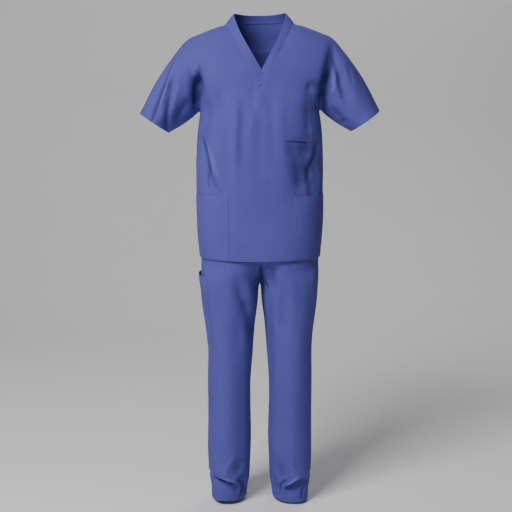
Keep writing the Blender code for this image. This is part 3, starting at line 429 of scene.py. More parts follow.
# %% The creases of the trousers
TROUSER_CREASES = (
    # the fork
    ("front", 9.0, 7.0, 0.8, 0, ((-.001, -.700), (.001, -.735), (.003, -.766))),
    ("front", 4.0, 5.0, 0.7, 0.4, ((-.003, -.742), (-.012, -.750), (-.021, -.758))),
    ("front", 4.0, 5.0, 0.7, 0.4, ((-.006, -.766), (-.014, -.775), (-.024, -.783))),
    ("front", 4.0, 5.5, 0.6, -0.4, ((.008, -.752), (.016, -.766), (.022, -.782))),
    # the falls down the thighs
    ("front", 7.0, 16.0, 0.3, 0.2, ((-.078, -.735), (-.062, -.796), (-.044, -.840), (-.032, -.889),
                                    (-.026, -.960))),
    ("front", -2.4, 9.0, 0.1, 0, ((-.044, -.735), (-.037, -.780), (-.032, -.825))),
    ("front", 5.5, 12.0, 0.3, 0, ((.033, -.700), (.035, -.740), (.037, -.790))),
    ("front", 2.4, 15.0, 0.1, 0, ((.060, -.760), (.066, -.830), (.060, -.920))),
    ("front", 5.0, 13.0, 0.0, 0, ((.026, -.760), (.028, -.840), (.032, -.950), (.036, -1.080))),
    ("front", -2.2, 14.0, 0.1, 0, ((.089, -.734), (.091, -.820), (.091, -.900))),
    ("front", 2.0, 9.0, 0.2, 0, ((.140, -.715), (.146, -.780), (.144, -.870))),
    # the wearer's right hem, where the cloth breaks over the foot
    ("front", 9.0, 6.5, 0.8, -0.3, ((-.140, -1.363), (-.124, -1.367), (-.108, -1.370), (-.091, -1.376),
                                    (-.074, -1.382))),
    ("front", -5.0, 6.0, 0.3, 0, ((-.122, -1.353), (-.102, -1.361), (-.082, -1.368), (-.066, -1.380),
                                  (-.062, -1.400), (-.070, -1.422))),
    ("front", 8.0, 12.0, 0.2, 0, ((-.062, -1.350), (-.049, -1.386), (-.047, -1.408), (-.057, -1.425))),
    ("front", 7.0, 6.0, 0.7, 0, ((-.073, -1.358), (-.057, -1.382), (-.054, -1.404), (-.062, -1.424))),
    ("front", -3.0, 8.0, 0.1, 0, ((-.076, -1.280), (-.091, -1.307), (-.108, -1.335), (-.096, -1.356))),
    ("front", 7.0, 15.0, 0.1, 0, ((-.060, -1.300), (-.068, -1.330), (-.070, -1.352))),
    # the wearer's left hem
    ("front", 9.0, 6.5, 0.8, 0.3, ((.140, -1.362), (.122, -1.369), (.106, -1.376), (.092, -1.387),
                                   (.078, -1.400))),
    ("front", -5.0, 6.0, 0.3, 0, ((.122, -1.352), (.106, -1.362), (.092, -1.373), (.074, -1.385))),
    ("front", 6.5, 6.0, 0.7, 0.3, ((.083, -1.362), (.067, -1.377), (.059, -1.394), (.060, -1.414))),
    ("front", 5.5, 5.5, 0.7, 0, ((.136, -1.388), (.128, -1.404), (.128, -1.432))),
    ("front", -3.0, 8.0, 0.1, 0, ((.082, -1.310), (.100, -1.338), (.084, -1.364))),
    ("front", 7.0, 15.0, 0.1, 0, ((.054, -1.318), (.062, -1.344), (.064, -1.362))),
    ("front", 4.5, 9.0, 0.3, 0, ((.036, -1.352), (.046, -1.376), (.050, -1.410))),
    # the seat and the backs of the knees
    ("back", 4.6, 9.0, 0.5, 0.4, ((-.026, -.770), (-.060, -.800), (-.104, -.815))),
    ("back", 4.2, 9.0, 0.5, -0.4, ((.026, -.775), (.064, -.808), (.110, -.826))),
    ("back", 3.2, 10.0, 0.3, 0, ((-.030, -.800), (-.058, -.850), (-.070, -.920))),
    ("back", 3.4, 11.0, 0.3, 0, ((.032, -.806), (.056, -.860), (.066, -.940))),
    ("back", 3.6, 8.0, 0.6, 0.4, ((-.050, -1.046), (-.092, -1.064), (-.136, -1.060))),
    ("back", 3.0, 7.0, 0.6, -0.4, ((-.060, -1.086), (-.098, -1.092), (-.128, -1.084))),
    ("back", 3.8, 8.0, 0.6, 0.4, ((.052, -1.056), (.090, -1.072), (.140, -1.070))),
    ("back", 2.8, 7.0, 0.6, -0.4, ((.066, -1.098), (.100, -1.104), (.124, -1.096))),
    ("back", -2.4, 12.0, 0.1, 0, ((-.096, -1.130), (-.094, -1.220), (-.098, -1.300))),
    ("back", -2.4, 12.0, 0.1, 0, ((.094, -1.130), (.096, -1.220), (.092, -1.300))),
    ("back", 4.6, 6.0, 0.8, 0.4, ((-.050, -1.346), (-.092, -1.362), (-.138, -1.370))),
    ("back", 4.8, 6.0, 0.8, -0.4, ((.050, -1.352), (.094, -1.366), (.140, -1.374))),
    ("back", 3.0, 6.0, 0.6, 0, ((-.062, -1.384), (-.078, -1.398), (-.082, -1.424))),
    ("back", 3.0, 6.0, 0.6, 0, ((.066, -1.388), (.084, -1.402), (.086, -1.428))),
    ("left", 3.0, 10.0, 0.3, 0, ((.020, -.760), (.026, -.860), (.016, -.980))),
    ("left", 3.6, 7.0, 0.6, 0.3, ((-.040, -1.352), (.004, -1.362), (.050, -1.356))),
    ("right", 3.6, 7.0, 0.6, 0.3, ((-.040, -1.350), (.006, -1.358), (.050, -1.352))),
    ("right", 2.4, 12.0, 0.2, 0, ((.030, -1.000), (.024, -1.120), (.030, -1.240))),
)

# %% Lay a crease on a skin with rays
STEP = 0.003            # between two samples along a line
LOOK_FROM = 0.8         # how far out the rays start
SIDES = {"front": (0, Vector((0, 1, 0))), "back": (0, Vector((0, -1, 0))),
         "left": (1, Vector((-1, 0, 0))), "right": (1, Vector((1, 0, 0)))}


def through(points):
    """A rounded line through the points, sampled about every step."""
    points = np.array(points, dtype=float)
    ends = np.vstack([2 * points[0] - points[1], points, 2 * points[-1] - points[-2]])
    line = []
    for a, b, c, d in zip(ends, ends[1:], ends[2:], ends[3:]):
        for t in np.arange(0, 1, STEP / max(STEP, np.linalg.norm(c - b))):
            line.append(0.5 * (2 * b + (c - a) * t + (2 * a - 5 * b + 4 * c - d) * t ** 2
                               + (3 * b - a - 3 * c + d) * t ** 3))
    line.append(points[-1])
    return np.array(line)


def laid(tree, side, path):
    """A line across and up, seen from one side, laid on the skin. Also the skin's normals along it, and
    how far along the line each spot is. A line may run out over an edge."""
    axis, look = SIDES[side]
    spots, normals, shares = [], [], []
    line = through(path)
    for step, (across, z) in enumerate(line):
        start = Vector((0, 0, z)) - look * LOOK_FROM
        start[axis] = across
        spot, normal, _, _ = tree.ray_cast(start, look)
        if spot is not None:
            spots.append(spot)
            normals.append(normal)
            shares.append(step / (len(line) - 1))
    return np.array(spots), np.array(normals), np.array(shares)


def lay_all(mesh, creases):
    """Each crease by its column names, with the spots it runs over and the way the cloth faces there."""
    bm = as_bmesh(mesh)
    tree = BVHTree.FromBMesh(bm)
    bm.free()
    rows = []
    for number, crease in enumerate(creases):
        row = dict(zip(CREASE_NAMES, crease), number=number)
        row["spots"], row["facing"], row["shares"] = laid(tree, row["side"], row["path"])
        if len(row["spots"]) < 3:
            print("this crease misses the cloth:", crease)
        else:
            rows.append(row)
    return rows


top_creases = lay_all(top_skin, TOP_CREASES)
trouser_creases = lay_all(trouser_skin, TROUSER_CREASES)
print("creases laid:", len(top_creases), "on the top and", len(trouser_creases), "on the trousers")

# %% [markdown]
# ## Give the sharp creases points to bend at
# A nick a few millimetres wide needs more points than a soft fold. So the faces along the crisp creases
# are split, and the rest of the skin is left as it is.

# %% Split the faces along the crisp creases
SPLITS = ((0.3, 0.013), (0.5, 0.0075))      # from which crispness, and how far to both sides


def split_along(mesh, creases, crisp_from, reach):
    """Splits the edges near the crisp creases in two."""
    spots = np.vstack([c["spots"] for c in creases if c["crisp"] >= crisp_from])
    near_by = KDTree(len(spots))
    for index, spot in enumerate(spots):
        near_by.insert(spot, index)
    near_by.balance()
    bm = as_bmesh(mesh)
    edges = [e for e in bm.edges if near_by.find((e.verts[0].co + e.verts[1].co) / 2)[2] < reach]
    bmesh.ops.subdivide_edges(bm, edges=edges, cuts=1, use_grid_fill=True)
    bm.to_mesh(mesh)
    bm.normal_update()
    print("split", len(edges), "edges, now", len(bm.verts), "points")
    bm.free()


for crisp_from, reach in SPLITS:
    split_along(top_skin, top_creases, crisp_from, reach)
    split_along(trouser_skin, trouser_creases, crisp_from, reach)

# %% [markdown]
# ## Press them in
# A crease pushes the points near it in along their normals. It tapers out at both ends and is never
# dead even: its depth swells and fades a little on the way. The whole skin also gets a slight
# unevenness, because cloth never lies as smooth as card.

# %% Press the creases
REACH = 3.0             # how many widths away a crease is still felt
SEEN_WAY = 0.6          # how much of the push goes straight back from the side the crease is drawn from
SEEN_WIDTH = 0.6        # how much of a crease's width is measured as seen from that side
BLUNT, SHARP_WIDTH = 0.3, 0.55          # the bottom of a crisp crease and its sides, in widths
LIP_AWAY, LIP_WIDTH = 1.5, 0.8          # where a lip swells and how broadly, in widths
TAPER_LONG, TAPER_FROM = 0.3, 0.12      # the share of a crease in which it deepens, and where that starts
UNEVEN, SHORT_WAVES, LONG_WAVES = 0.22, 95, 5   # how uneven the depth is, along a metre and along a crease
TURNS_AWAY = 2.5        # how late a crease fades where the cloth turns away from its side
SLIP = 0.6              # how much of a step a point may lie past its nearest sample
# a crevice is where a crease gets painted shade in its colour
CREVICE_WIDTH, CREVICE_DEEP = 0.6, 0.010        # in widths, and the depth of a full one
CREVICE_SOFT = 0.3      # how much of a crevice a round trough is
SWELLS = ((9.0, 0.0010), (23.0, 0.00035))       # how many waves to a metre, and how high
TOP_SEED, TROUSER_SEED = 3.0, 8.0


def smooth_step(t):
    """Rises smoothly from 0 to 1 while t does, and stays level before and after."""
    t = np.clip(t, 0, 1)
    return t * t * (3 - 2 * t)


def press(mesh, creases, seed):
    """Presses the creases into the mesh and adds slight swells. Returns how far each point moved, and how
    far into a crevice it lies, from 0 to 1, which sets how much painted shade it gets there."""
    points, normals = read_points(mesh), read_normals(mesh)
    move, crevice, push = np.zeros(len(points)), np.zeros(len(points)), np.zeros(points.shape)
    for c in creases:
        spots, facing, look = c["spots"], c["facing"], np.array(SIDES[c["side"]][1])
        width, depth = c["width"] / 1000, c["depth"] / 1000
        low = spots.min(axis=0) - REACH * width * (1 + np.abs(look))
        high = spots.max(axis=0) + REACH * width * (1 + np.abs(look))
        near = np.flatnonzero(((points > low) & (points < high)).all(axis=1))
        gaps = np.linalg.norm(points[near, None, :] - spots[None, :, :], axis=2)
        nearest = gaps.argmin(axis=1)
        along = np.gradient(spots, axis=0)
        along /= np.linalg.norm(along, axis=1)[:, None] + 1e-9
        off = points[near] - spots[nearest]
        slip = np.clip(np.einsum("ij,ij->i", off, along[nearest]), -STEP * SLIP, STEP * SLIP)
        off -= along[nearest] * slip[:, None]
        off -= (off @ look)[:, None] * look * SEEN_WIDTH
        away = np.linalg.norm(off, axis=1)
        which = np.sign(np.einsum("ij,ij->i", np.cross(along[nearest], facing[nearest]), off))
        soft = np.exp(-(away / width) ** 2)
        blunt = BLUNT * width
        sharp = np.exp(-(np.sqrt(away ** 2 + blunt ** 2) - blunt) / (SHARP_WIDTH * width))
        trough = (1 - c["crisp"]) * soft + c["crisp"] * sharp
        swell = np.exp(-((away - LIP_AWAY * width) / (LIP_WIDTH * width)) ** 2)
        swell = swell * (which * np.sign(c["lip"]) > 0)
        share = c["shares"][nearest]
        taper = smooth_step(share / TAPER_LONG + TAPER_FROM)
        taper = taper * smooth_step((1 - share) / TAPER_LONG + TAPER_FROM)
        uneven = 1 + UNEVEN * (np.sin(share * len(spots) * STEP * SHORT_WAVES + c["number"])
                               * np.cos(share * LONG_WAVES + c["number"]))
        same_side = smooth_step(np.einsum("ij,ij->i", normals[near], facing[nearest]) * TURNS_AWAY)
        amount = (abs(c["lip"]) * swell - trough) * depth * taper * uneven * same_side
        way = normals[near] * (1 - SEEN_WAY) - look * SEEN_WAY
        push[near] += way / np.linalg.norm(way, axis=1)[:, None] * amount[:, None]
        move[near] += amount
        # how much painted shade this crease puts at the bottom of its crevice
        tight = np.exp(-(away / (CREVICE_WIDTH * width)) ** 2) * min(1.0, max(0.0, depth / CREVICE_DEEP))
        tight *= CREVICE_SOFT + (1 - CREVICE_SOFT) * c["crisp"]
        crevice[near] = np.maximum(crevice[near], tight * taper * same_side)
    for waves, height in SWELLS:
        swell = height * np.array([noise.noise(Vector(p) * waves + Vector((seed, 0, 0))) for p in points])
        push += normals * swell[:, None]
        move += swell
    write_points(mesh, points + push)
    return move, crevice


top_smooth = top_skin.copy()
trouser_smooth = trouser_skin.copy()
top_moved, top_crevice = press(top_skin, top_creases, TOP_SEED)
trouser_moved, trouser_crevice = press(trouser_skin, trouser_creases, TROUSER_SEED)
for name, moved in (("top", top_moved), ("trousers", trouser_moved)):
    print("%s pressed in by up to %.1f mm, out by %.1f" % (name, -moved.min() * 1000, moved.max() * 1000))

# %% [markdown]
# ## How the trousers fall under the top's hem
# The top hangs over the hips, so what comes out from under its hem shouldn't stand out much past it. Two
# legs side by side make a boxy outline there, and its corners would. They could be pressed in with more
# creases, but a broad shift leaves no mark: it draws the cloth in between the side and the back, and a
# little between the side and the front, most a hand's width under the hem. Seen from the front or the
# side, the outline stays as it is.

# %% Draw the hips' corners in
FALL_Z, FALL_LONG = -0.765, 0.075           # where most is drawn in, and how far up and down that fades
FALL_BACK, FALL_FRONT = 0.015, 0.004        # how much, behind and in front
FALL_INNER, FALL_OUTER = 0.075, 0.135       # distances from the middle between which it sets in


def draw_in(mesh):
    """Draws the corners between side and back, and side and front, in below the top's hem."""
    points = read_points(mesh)
    x, y, z = points.T
    radius = np.maximum(np.hypot(x, y), 1e-6)
    corner = (2 * np.abs(x * y) / radius ** 2) ** 2
    outer = smooth_step((np.abs(x) - FALL_INNER) / (FALL_OUTER - FALL_INNER))
    fade = np.exp(-((z - FALL_Z) / FALL_LONG) ** 2)
    amount = corner * outer * fade * np.where(y > 0, FALL_BACK, FALL_FRONT)
    points[:, 0] -= amount * x / radius
    points[:, 1] -= amount * y / radius
    write_points(mesh, points)
    print("hips drawn in by up to %.1f mm" % (amount.max() * 1000))


draw_in(trouser_skin)

# %% [markdown]
# ## Seams and hems
# At a seam the edges of both panels are turned in and the stitches pull the cloth down, so that a fine
# ditch runs between the panels. A hem is folded up twice, so the cloth there is doubled and stands a
# little proud. How far each point is from a seam and from an open edge is kept with the mesh, because
# the thickness and the finish need it too.

# %% Measure and press the seams and hems
SEAM_DITCH, SEAM_WIDTH = 0.0006, 0.0035
HEM_FOLD, HEM_PROUD, HEM_EASE = 0.022, 0.0004, 0.003
ALONG_EDGE = 0.0015


def distance_to(edges, points):
    """How far each point is from the nearest of these edges."""
    samples = []
    for a, b in edges:
        count = max(1, int((b - a).length / ALONG_EDGE))
        samples += [a.lerp(b, k / count) for k in range(count + 1)]
    tree = KDTree(len(samples))
    for index, sample in enumerate(samples):
        tree.insert(sample, index)
    tree.balance()
    return np.array([tree.find(p)[2] for p in points])


def keep(mesh, name, values):
    """Keeps one number for each point with the mesh."""
    if name not in mesh.attributes:
        mesh.attributes.new(name, "FLOAT", "POINT")
    mesh.attributes[name].data.foreach_set("value", np.ascontiguousarray(values, dtype=np.float32))


def seams_and_hems(mesh, moved, crevice):
    """Presses the seams, raises the hems and keeps the distances to both."""
    bm = as_bmesh(mesh)
    layer = bm.faces.layers.int["panel"]
    seams = [e for e in bm.edges
             if len(e.link_faces) == 2 and e.link_faces[0][layer] != e.link_faces[1][layer]]
    hems = [e for e in bm.edges if e.is_boundary]
    points = read_points(mesh)
    seam = distance_to([(e.verts[0].co, e.verts[1].co) for e in seams], points)
    hem = distance_to([(e.verts[0].co, e.verts[1].co) for e in hems], points)
    bm.free()
    proud = HEM_PROUD * smooth_step((HEM_FOLD - hem) / HEM_EASE)
    ditch = SEAM_DITCH * np.exp(-(seam / SEAM_WIDTH) ** 2)
    write_points(mesh, points + read_normals(mesh) * (proud - ditch)[:, None])
    keep(mesh, "seam", seam)
    keep(mesh, "hem", hem)
    keep(mesh, "pressed", moved * 1000)
    keep(mesh, "crevice", crevice)
    return len(seams)


print("seam edges:", seams_and_hems(top_skin, top_moved, top_crevice), "and",
      seams_and_hems(trouser_skin, trouser_moved, trouser_crevice))

# %% [markdown]
# ## Keep the trousers inside the top
# The top hangs over the hips. Where its creases dip in, the trousers under it give way.

# %% Tuck the trousers under the top
UNDER_TOP = 0.0034      # from the top's outer face to the trousers' outer face
TUCK_SPREAD = 0.85      # how much of the push each neighbour shares
TUCK_ROUNDS = 5         # how many neighbours away it spreads
TUCK_REACH = 0.02       # how far away the top is looked for
TUCK_BELOW = 0.002      # how far under the top's lowest hem it goes on


def tuck(inner, outer):
    """Pushes the inner skin back wherever it comes too near the outer one from inside."""
    bm = as_bmesh(outer)
    tree = BVHTree.FromBMesh(bm)
    lowest = min(v.co.z for v in bm.verts if v.is_boundary)
    bm.free()
    bm = as_bmesh(inner)
    push = np.zeros(len(bm.verts))
    for v in bm.verts:
        if v.co.z > lowest - TUCK_BELOW:
            spot, normal, _, _ = tree.find_nearest(v.co, TUCK_REACH)
            if spot is not None:
                push[v.index] = max(0.0, UNDER_TOP - (spot - v.co).dot(normal))
    for _ in range(TUCK_ROUNDS):
        push = np.array([max([push[v.index]] + [TUCK_SPREAD * push[e.other_vert(v).index]
                                                for e in v.link_edges]) for v in bm.verts])
    bm.free()
    write_points(inner, read_points(inner) - read_normals(inner) * push[:, None])
    return float(push.max())


print("tucked in by up to", round(tuck(trouser_skin, top_skin) * 1000, 1), "mm")

# %% [markdown]
# ## Run the threads round the body
# The finish shows a fine weave, so every piece needs to know which way its threads run. They are
# counted: so many up the garment, and a whole even number round it, so that the weave meets itself.

# %% Count the threads
PITCH = 0.0008          # from one thread to the next
AXES = {
    # where: a point of the axis, its direction, and how many threads run round it
    "body": (Vector((0, 0, 0)), Vector((0, 0, 1)), 1256),
    "sleeve_left": (Vector((0.311, -0.012, -0.292)), Vector((0.572, 0, -0.820)), 784),
    "sleeve_right": (Vector((-0.311, -0.012, -0.292)), Vector((-0.572, 0, -0.820)), 784),
    "leg_left": (Vector((0.094, 0.005, 0)), Vector((0, 0, 1)), 706),
    "leg_right": (Vector((-0.094, 0.005, 0)), Vector((0, 0, 1)), 706),
}


def count_threads(mesh, where):
    """Writes how many threads round and along its axis each face corner is."""
    centre, axis, round_count = AXES[where]
    axis = axis.normalized()
    first = axis.cross(Vector((0, 1, 0))).normalized()
    second = axis.cross(first)
    points = read_points(mesh) - np.array(centre)
    angle = np.arctan2(points @ np.array(second), points @ np.array(first)) / (2 * math.pi)
    along = points @ np.array(axis) / PITCH
    layer = mesh.uv_layers.new(name="weave")
    corners = np.empty(len(mesh.loops), dtype=np.int32)
    mesh.loops.foreach_get("vertex_index", corners)
    starts = np.empty(len(mesh.polygons), dtype=np.int32)
    mesh.polygons.foreach_get("loop_start", starts)
    totals = np.empty(len(mesh.polygons), dtype=np.int32)
    mesh.polygons.foreach_get("loop_total", totals)
    base = np.repeat(angle[corners[starts]], totals)
    turn = base + (angle[corners] - base + 0.5) % 1 - 0.5
    layer.data.foreach_set("uv", np.column_stack([turn * round_count, along[corners]]).ravel())


# %% [markdown]
# ## Cut the panels
# The skin is cut along its seams again, so that each panel is a piece of cloth of its own. A solidify
# step gives it the thickness of poplin, measured inwards, and twice that at the hems. A narrow strip
# along every edge and a fine bevel keep the edges crisp without shading the cloth beside them.

# %% Cut a panel out of a skin
CLOTH, BAND_CLOTH = 0.0011, 0.0025          # the neckband is folded, so two layers all over
EDGE_STRIP = 0.0004
EDGE_ROUND, BAND_EDGE_ROUND = 0.00015, 0.00035
ROUND_FROM = math.radians(65)               # an edge sharper than this is rounded


def finish_edges(bm):
    """Sets a narrow strip off along all open edges."""
    bmesh.ops.inset_region(bm, faces=bm.faces, thickness=EDGE_STRIP, use_boundary=True,
                           use_even_offset=True, use_interpolate=True)
    for face in bm.faces:
        face.smooth = True


def thick(obj, depth, doubled=None, edge=EDGE_ROUND):
    """Gives a single face of cloth its thickness, inwards, and rounds its edges."""
    solid = obj.modifiers.new("cloth", "SOLIDIFY")
    solid.thickness = depth
    solid.offset = -1.0
    solid.use_quality_normals = True
    if doubled is not None:
        solid.thickness = 2 * depth
        group = obj.vertex_groups.new(name="layers")
        for index, share in enumerate(doubled):
            group.add([index], 0.5 + 0.5 * float(share), "REPLACE")
        solid.vertex_group = group.name
    bevel = obj.modifiers.new("edges", "BEVEL")
    bevel.width = edge
    bevel.segments = 2
    bevel.limit_method = "ANGLE"
    bevel.angle_limit = ROUND_FROM


def read_kept(mesh, name):
    """The numbers kept with the mesh under this name."""
    values = np.empty(len(mesh.vertices), dtype=np.float32)
    mesh.attributes[name].data.foreach_get("value", values)
    return values


def stands_for(obj, node):
    """The piece rides on the set and takes the place of its solid."""
    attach(obj, "root")
    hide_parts(node)
    return obj


def panel(mesh, number, node, where):
    """The part of a sewn skin that came from one node, as a cloth piece."""
    bm = as_bmesh(mesh)
    layer = bm.faces.layers.int["panel"]
    others = [f for f in bm.faces if f[layer] != number]
    bmesh.ops.delete(bm, geom=others, context="FACES")
    finish_edges(bm)
    area = sum(f.calc_area() for f in bm.faces)
    cloth = bpy.data.meshes.new(node + "_cloth")
    bm.to_mesh(cloth)
    bm.free()
    count_threads(cloth, where)
    obj = link(node + "_cloth", cloth)
    if node == "neckband":
        thick(obj, BAND_CLOTH, edge=BAND_EDGE_ROUND)
    else:
        thick(obj, CLOTH, smooth_step((HEM_FOLD - read_kept(cloth, "hem")) / HEM_EASE))
    print(obj.name, "points", len(cloth.vertices), "area", round(area, 4), "m2")
    return stands_for(obj, node)


pieces = {}
WHERE = {"top_front": "body", "top_back": "body", "neckband": "body", "waistband": "body",
         "sleeve_left": "sleeve_left", "sleeve_right": "sleeve_right",
         "trouser_front_left": "leg_left", "trouser_front_right": "leg_right",
         "trouser_back_left": "leg_left", "trouser_back_right": "leg_right"}
for number, node in enumerate(TOP_PANELS + ("neckband",)):
    pieces[node] = panel(top_skin, number, node, WHERE[node])
for number, node in enumerate(TROUSER_PANELS):
    pieces[node] = panel(trouser_skin, number, node, WHERE[node])

# %% [markdown]
# ## Pockets
# A patch pocket is a second layer of cloth that follows the garment under it. It keeps the outline of
# its solid, but lies closer: its underside nearly touches the cloth below. Each point finds its place
# on the smooth skin and moves to the same place on the creased one.

# %% Lay the pockets on the creased skin
POCKET_LEVELS = 3
POCKET_LOWER = 0.0015   # how much nearer a pocket lies than its solid
POCKET_LEAST = 0.0012   # how far off the cloth its outer face is at least
MOUTH_EASE = 0.100      # how far down a pocket it is drawn up with its mouth
MOUTH_FOLD = 0.018      # how much cloth is folded in at the mouth
MOUTH_LEVEL, MOUTH_HIGH = 0.6, 0.7      # a mouth's edges run this level, this far up the pocket


def follow(points, smooth, creased):
    """Moves points from over the smooth skin to over the creased one, and nearer to it."""
    bm = as_bmesh(smooth)
    tree = BVHTree.FromBMesh(bm)
    before, after, normals = read_points(smooth), read_points(creased), read_normals(creased)
    result = np.empty_like(points)
    for k, p in enumerate(points):
        p = Vector(p)
        spot, normal, index, _ = tree.find_nearest(p)
        corners = [v.index for v in bm.faces[index].verts]
        weights = np.array(poly_3d_calc([before[i] for i in corners], spot))
        height = (p - spot).dot(normal)
        under = (after[corners] * weights[:, None]).sum(axis=0)
        up = (normals[corners] * weights[:, None]).sum(axis=0)
        up /= np.linalg.norm(up)
        aside = np.array(p - spot - normal * height)
        result[k] = under + aside + up * max(POCKET_LEAST, height - POCKET_LOWER)
    bm.free()
    return result


def open_distance(mesh, chosen):
    """Each point's distance to those of the mesh's open edges whose middles are chosen."""
    bm = as_bmesh(mesh)
    edges = [(e.verts[0].co, e.verts[1].co) for e in bm.edges
             if e.is_boundary and chosen((e.verts[0].co + e.verts[1].co) / 2, e)]
    distances = distance_to(edges, read_points(mesh))
    bm.free()
    return distances


def layer_on(node, smooth, creased, where, higher=0.0):
    """A node's outer face as a cloth piece that lies on a creased skin. Its mouth may be made higher."""
    cage = outer_face(node)
    mesh = rounded(cage, POCKET_LEVELS)
    cage.free()
    top_z, low_z = read_points(mesh)[:, 2].max(), read_points(mesh)[:, 2].min()

    def at_mouth(middle, edge):
        level = abs((edge.verts[1].co - edge.verts[0].co).normalized().z) < MOUTH_LEVEL
        return level and middle.z > low_z + MOUTH_HIGH * (top_z - low_z)

    mouth = open_distance(mesh, at_mouth)
    rim = open_distance(mesh, lambda middle, edge: True)
    points = read_points(mesh)
    points[:, 2] += higher * smooth_step(1 - mouth / MOUTH_EASE)
    write_points(mesh, follow(points, smooth, creased))
    keep(mesh, "seam", rim)
    keep(mesh, "hem", mouth)
    keep(mesh, "pressed", np.zeros(len(mesh.vertices)))
    keep(mesh, "crevice", np.zeros(len(mesh.vertices)))
    bm = as_bmesh(mesh)
    finish_edges(bm)
    bm.to_mesh(mesh)
    bm.free()
    mesh.name = node + "_cloth"
    count_threads(mesh, where)
    obj = link(node + "_cloth", mesh)
    thick(obj, CLOTH, smooth_step((MOUTH_FOLD - read_kept(mesh, "hem")) / HEM_EASE))
    return stands_for(obj, node)


HIGHER = {"chest_pocket": -0.006, "lower_pocket_left": 0.009, "lower_pocket_right": 0.009}
for node, higher in HIGHER.items():
    pieces[node] = layer_on(node, top_smooth, top_skin, "body", higher=higher)
pieces["cargo_pocket"] = layer_on("cargo_pocket", trouser_smooth, trouser_skin, "leg_right")

# %% [markdown]
# ## Stitches
# A lockstitch row shows as short stitches end to end, each dipping into the cloth at both ends. A row
# runs at an even distance from the edge that it holds: close to a pocket's rim and to the neck seam, and
# 20 mm up from a hem, where the folded edge is caught. The distances are already kept with each piece,
# so a row is a line along which one of them stays the same. A stitch is a small stretched ball of
# thread, half sunk in.

# %% Sew along lines of equal distance
STITCH_LONG, STITCH_THICK, STITCH_PITCH = 0.0025, 0.00056, 0.0033
STITCH_OUT = 0.00008    # how far above the cloth its middle lies


def rows_at(obj, name, value, clear_of=None, near=None, inside=0.0):
    """The lines on a piece where a kept distance has this value. They may have to stay clear of what
    another distance is measured from, or stay within a box, or run on the inner face."""
    mesh = obj.data
    kept, points, normals = read_kept(mesh, name), read_points(mesh), read_normals(mesh)
    fine = np.ones(len(points), dtype=bool)
    if clear_of:
        fine &= read_kept(mesh, clear_of[0]) > clear_of[1]
    if near:
        fine &= ((points > near[0]) & (points < near[1])).all(axis=1)
    crossings, joined = {}, {}
    for face in mesh.polygons:
        cut = [(a, b) for a, b in face.edge_keys
               if (kept[a] - value) * (kept[b] - value) < 0 and fine[a] and fine[b]]
        if len(cut) == 2:
            for a, b in cut:
                share = (value - kept[a]) / (kept[b] - kept[a])
                crossings[a, b] = np.hstack([points[a], normals[a]]) * (1 - share) + np.hstack(
                    [points[b], normals[b]]) * share
            joined.setdefault(cut[0], []).append(cut[1])
            joined.setdefault(cut[1], []).append(cut[0])
    rows = []
    while joined:
        key = next((k for k in joined if len(joined[k]) == 1), next(iter(joined)))
        row = []
        while key is not None:
            row.append(crossings[key])
            key = next((k for k in joined.pop(key) if k in joined), None)
        row = np.array(row)
        if inside:
            row = np.hstack([row[:, :3] - row[:, 3:] * inside, -row[:, 3:]])
        rows.append(row)
    return rows


def sew(bm, rows):
    """Adds the stitches of these rows."""
    for row in rows:
        run = np.concatenate([[0], np.cumsum(np.linalg.norm(np.diff(row[:, :3], axis=0), axis=1))])
        for s in np.arange(STITCH_PITCH / 2, run[-1] - STITCH_PITCH / 2, STITCH_PITCH):
            here, before, after = ([np.interp(at, run, row[:, k]) for k in range(6)]
                                   for at in (s, s - STITCH_LONG / 2, s + STITCH_LONG / 2))
            ahead = (Vector(after[:3]) - Vector(before[:3])).normalized()
            across = Vector(here[3:]).cross(ahead).normalized()
            up = ahead.cross(across)
            turn = Matrix((ahead, across, up)).transposed().to_4x4()
            size = Matrix.Diagonal((STITCH_LONG / 2, STITCH_THICK / 2, STITCH_THICK / 2, 1))
            place = Matrix.Translation(Vector(here[:3]) + up * STITCH_OUT) @ turn @ size
            bmesh.ops.create_icosphere(bm, subdivisions=1, radius=1.0, matrix=place)


def stitches(name, rows):
    """All the stitches of a garment as one piece."""
    bm = bmesh.new()
    sew(bm, rows)
    for face in bm.faces:
        face.smooth = True
    mesh = bpy.data.meshes.new(name)
    bm.to_mesh(mesh)
    print(name, "in", len(rows), "rows,", len(bm.faces), "triangles")
    bm.free()
    obj = link(name, mesh)
    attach(obj, "root")
    return obj


def tack(obj, across, z, length):
    """A short level row of stitches on a piece, as seen from the front."""
    bm = as_bmesh(obj.data)
    spots, normals, _ = laid(BVHTree.FromBMesh(bm), "front", ((across, z), (across + length, z - TACK_DROP)))
    bm.free()
    return [np.hstack([spots, normals])]


def pocket_rows(obj):
    """The rows round a pocket's rim and along the fold of its mouth."""
    return (rows_at(obj, "seam", RIM_ROW, clear_of=("hem", CLEAR_OF_MOUTH))
            + rows_at(obj, "hem", MOUTH_ROW, clear_of=("seam", CLEAR_OF_RIM)))


HEM_ROW, CUFF_ROW, RIM_ROW, NECK_ROW, TAPE_ROW, MOUTH_ROW = 0.020, 0.020, 0.0025, 0.0022, 0.0065, 0.016
CLEAR_OF_MOUTH, CLEAR_OF_RIM = 0.004, 0.002
INNER_FACE = CLOTH + 0.0001
TACK_ACROSS, TACK_LONG, TACK_ROWS = 0.108, 0.0105, (-0.2235, -0.2241, -0.2247)     # ends the pen slot
TACK_DROP = 0.0005      # a tack isn't quite level
ROUND_NECK = (np.array((-0.13, -0.2, -0.22)), np.array((0.13, 0.2, 0.1)))
top_rows = []
for node in ("top_front", "top_back"):
    top_rows += rows_at(pieces[node], "hem", HEM_ROW)
    top_rows += rows_at(pieces[node], "seam", NECK_ROW, near=ROUND_NECK)
top_rows += rows_at(pieces["top_back"], "seam", TAPE_ROW, near=ROUND_NECK, inside=INNER_FACE)
for node in ("sleeve_left", "sleeve_right"):
    top_rows += rows_at(pieces[node], "hem", CUFF_ROW)
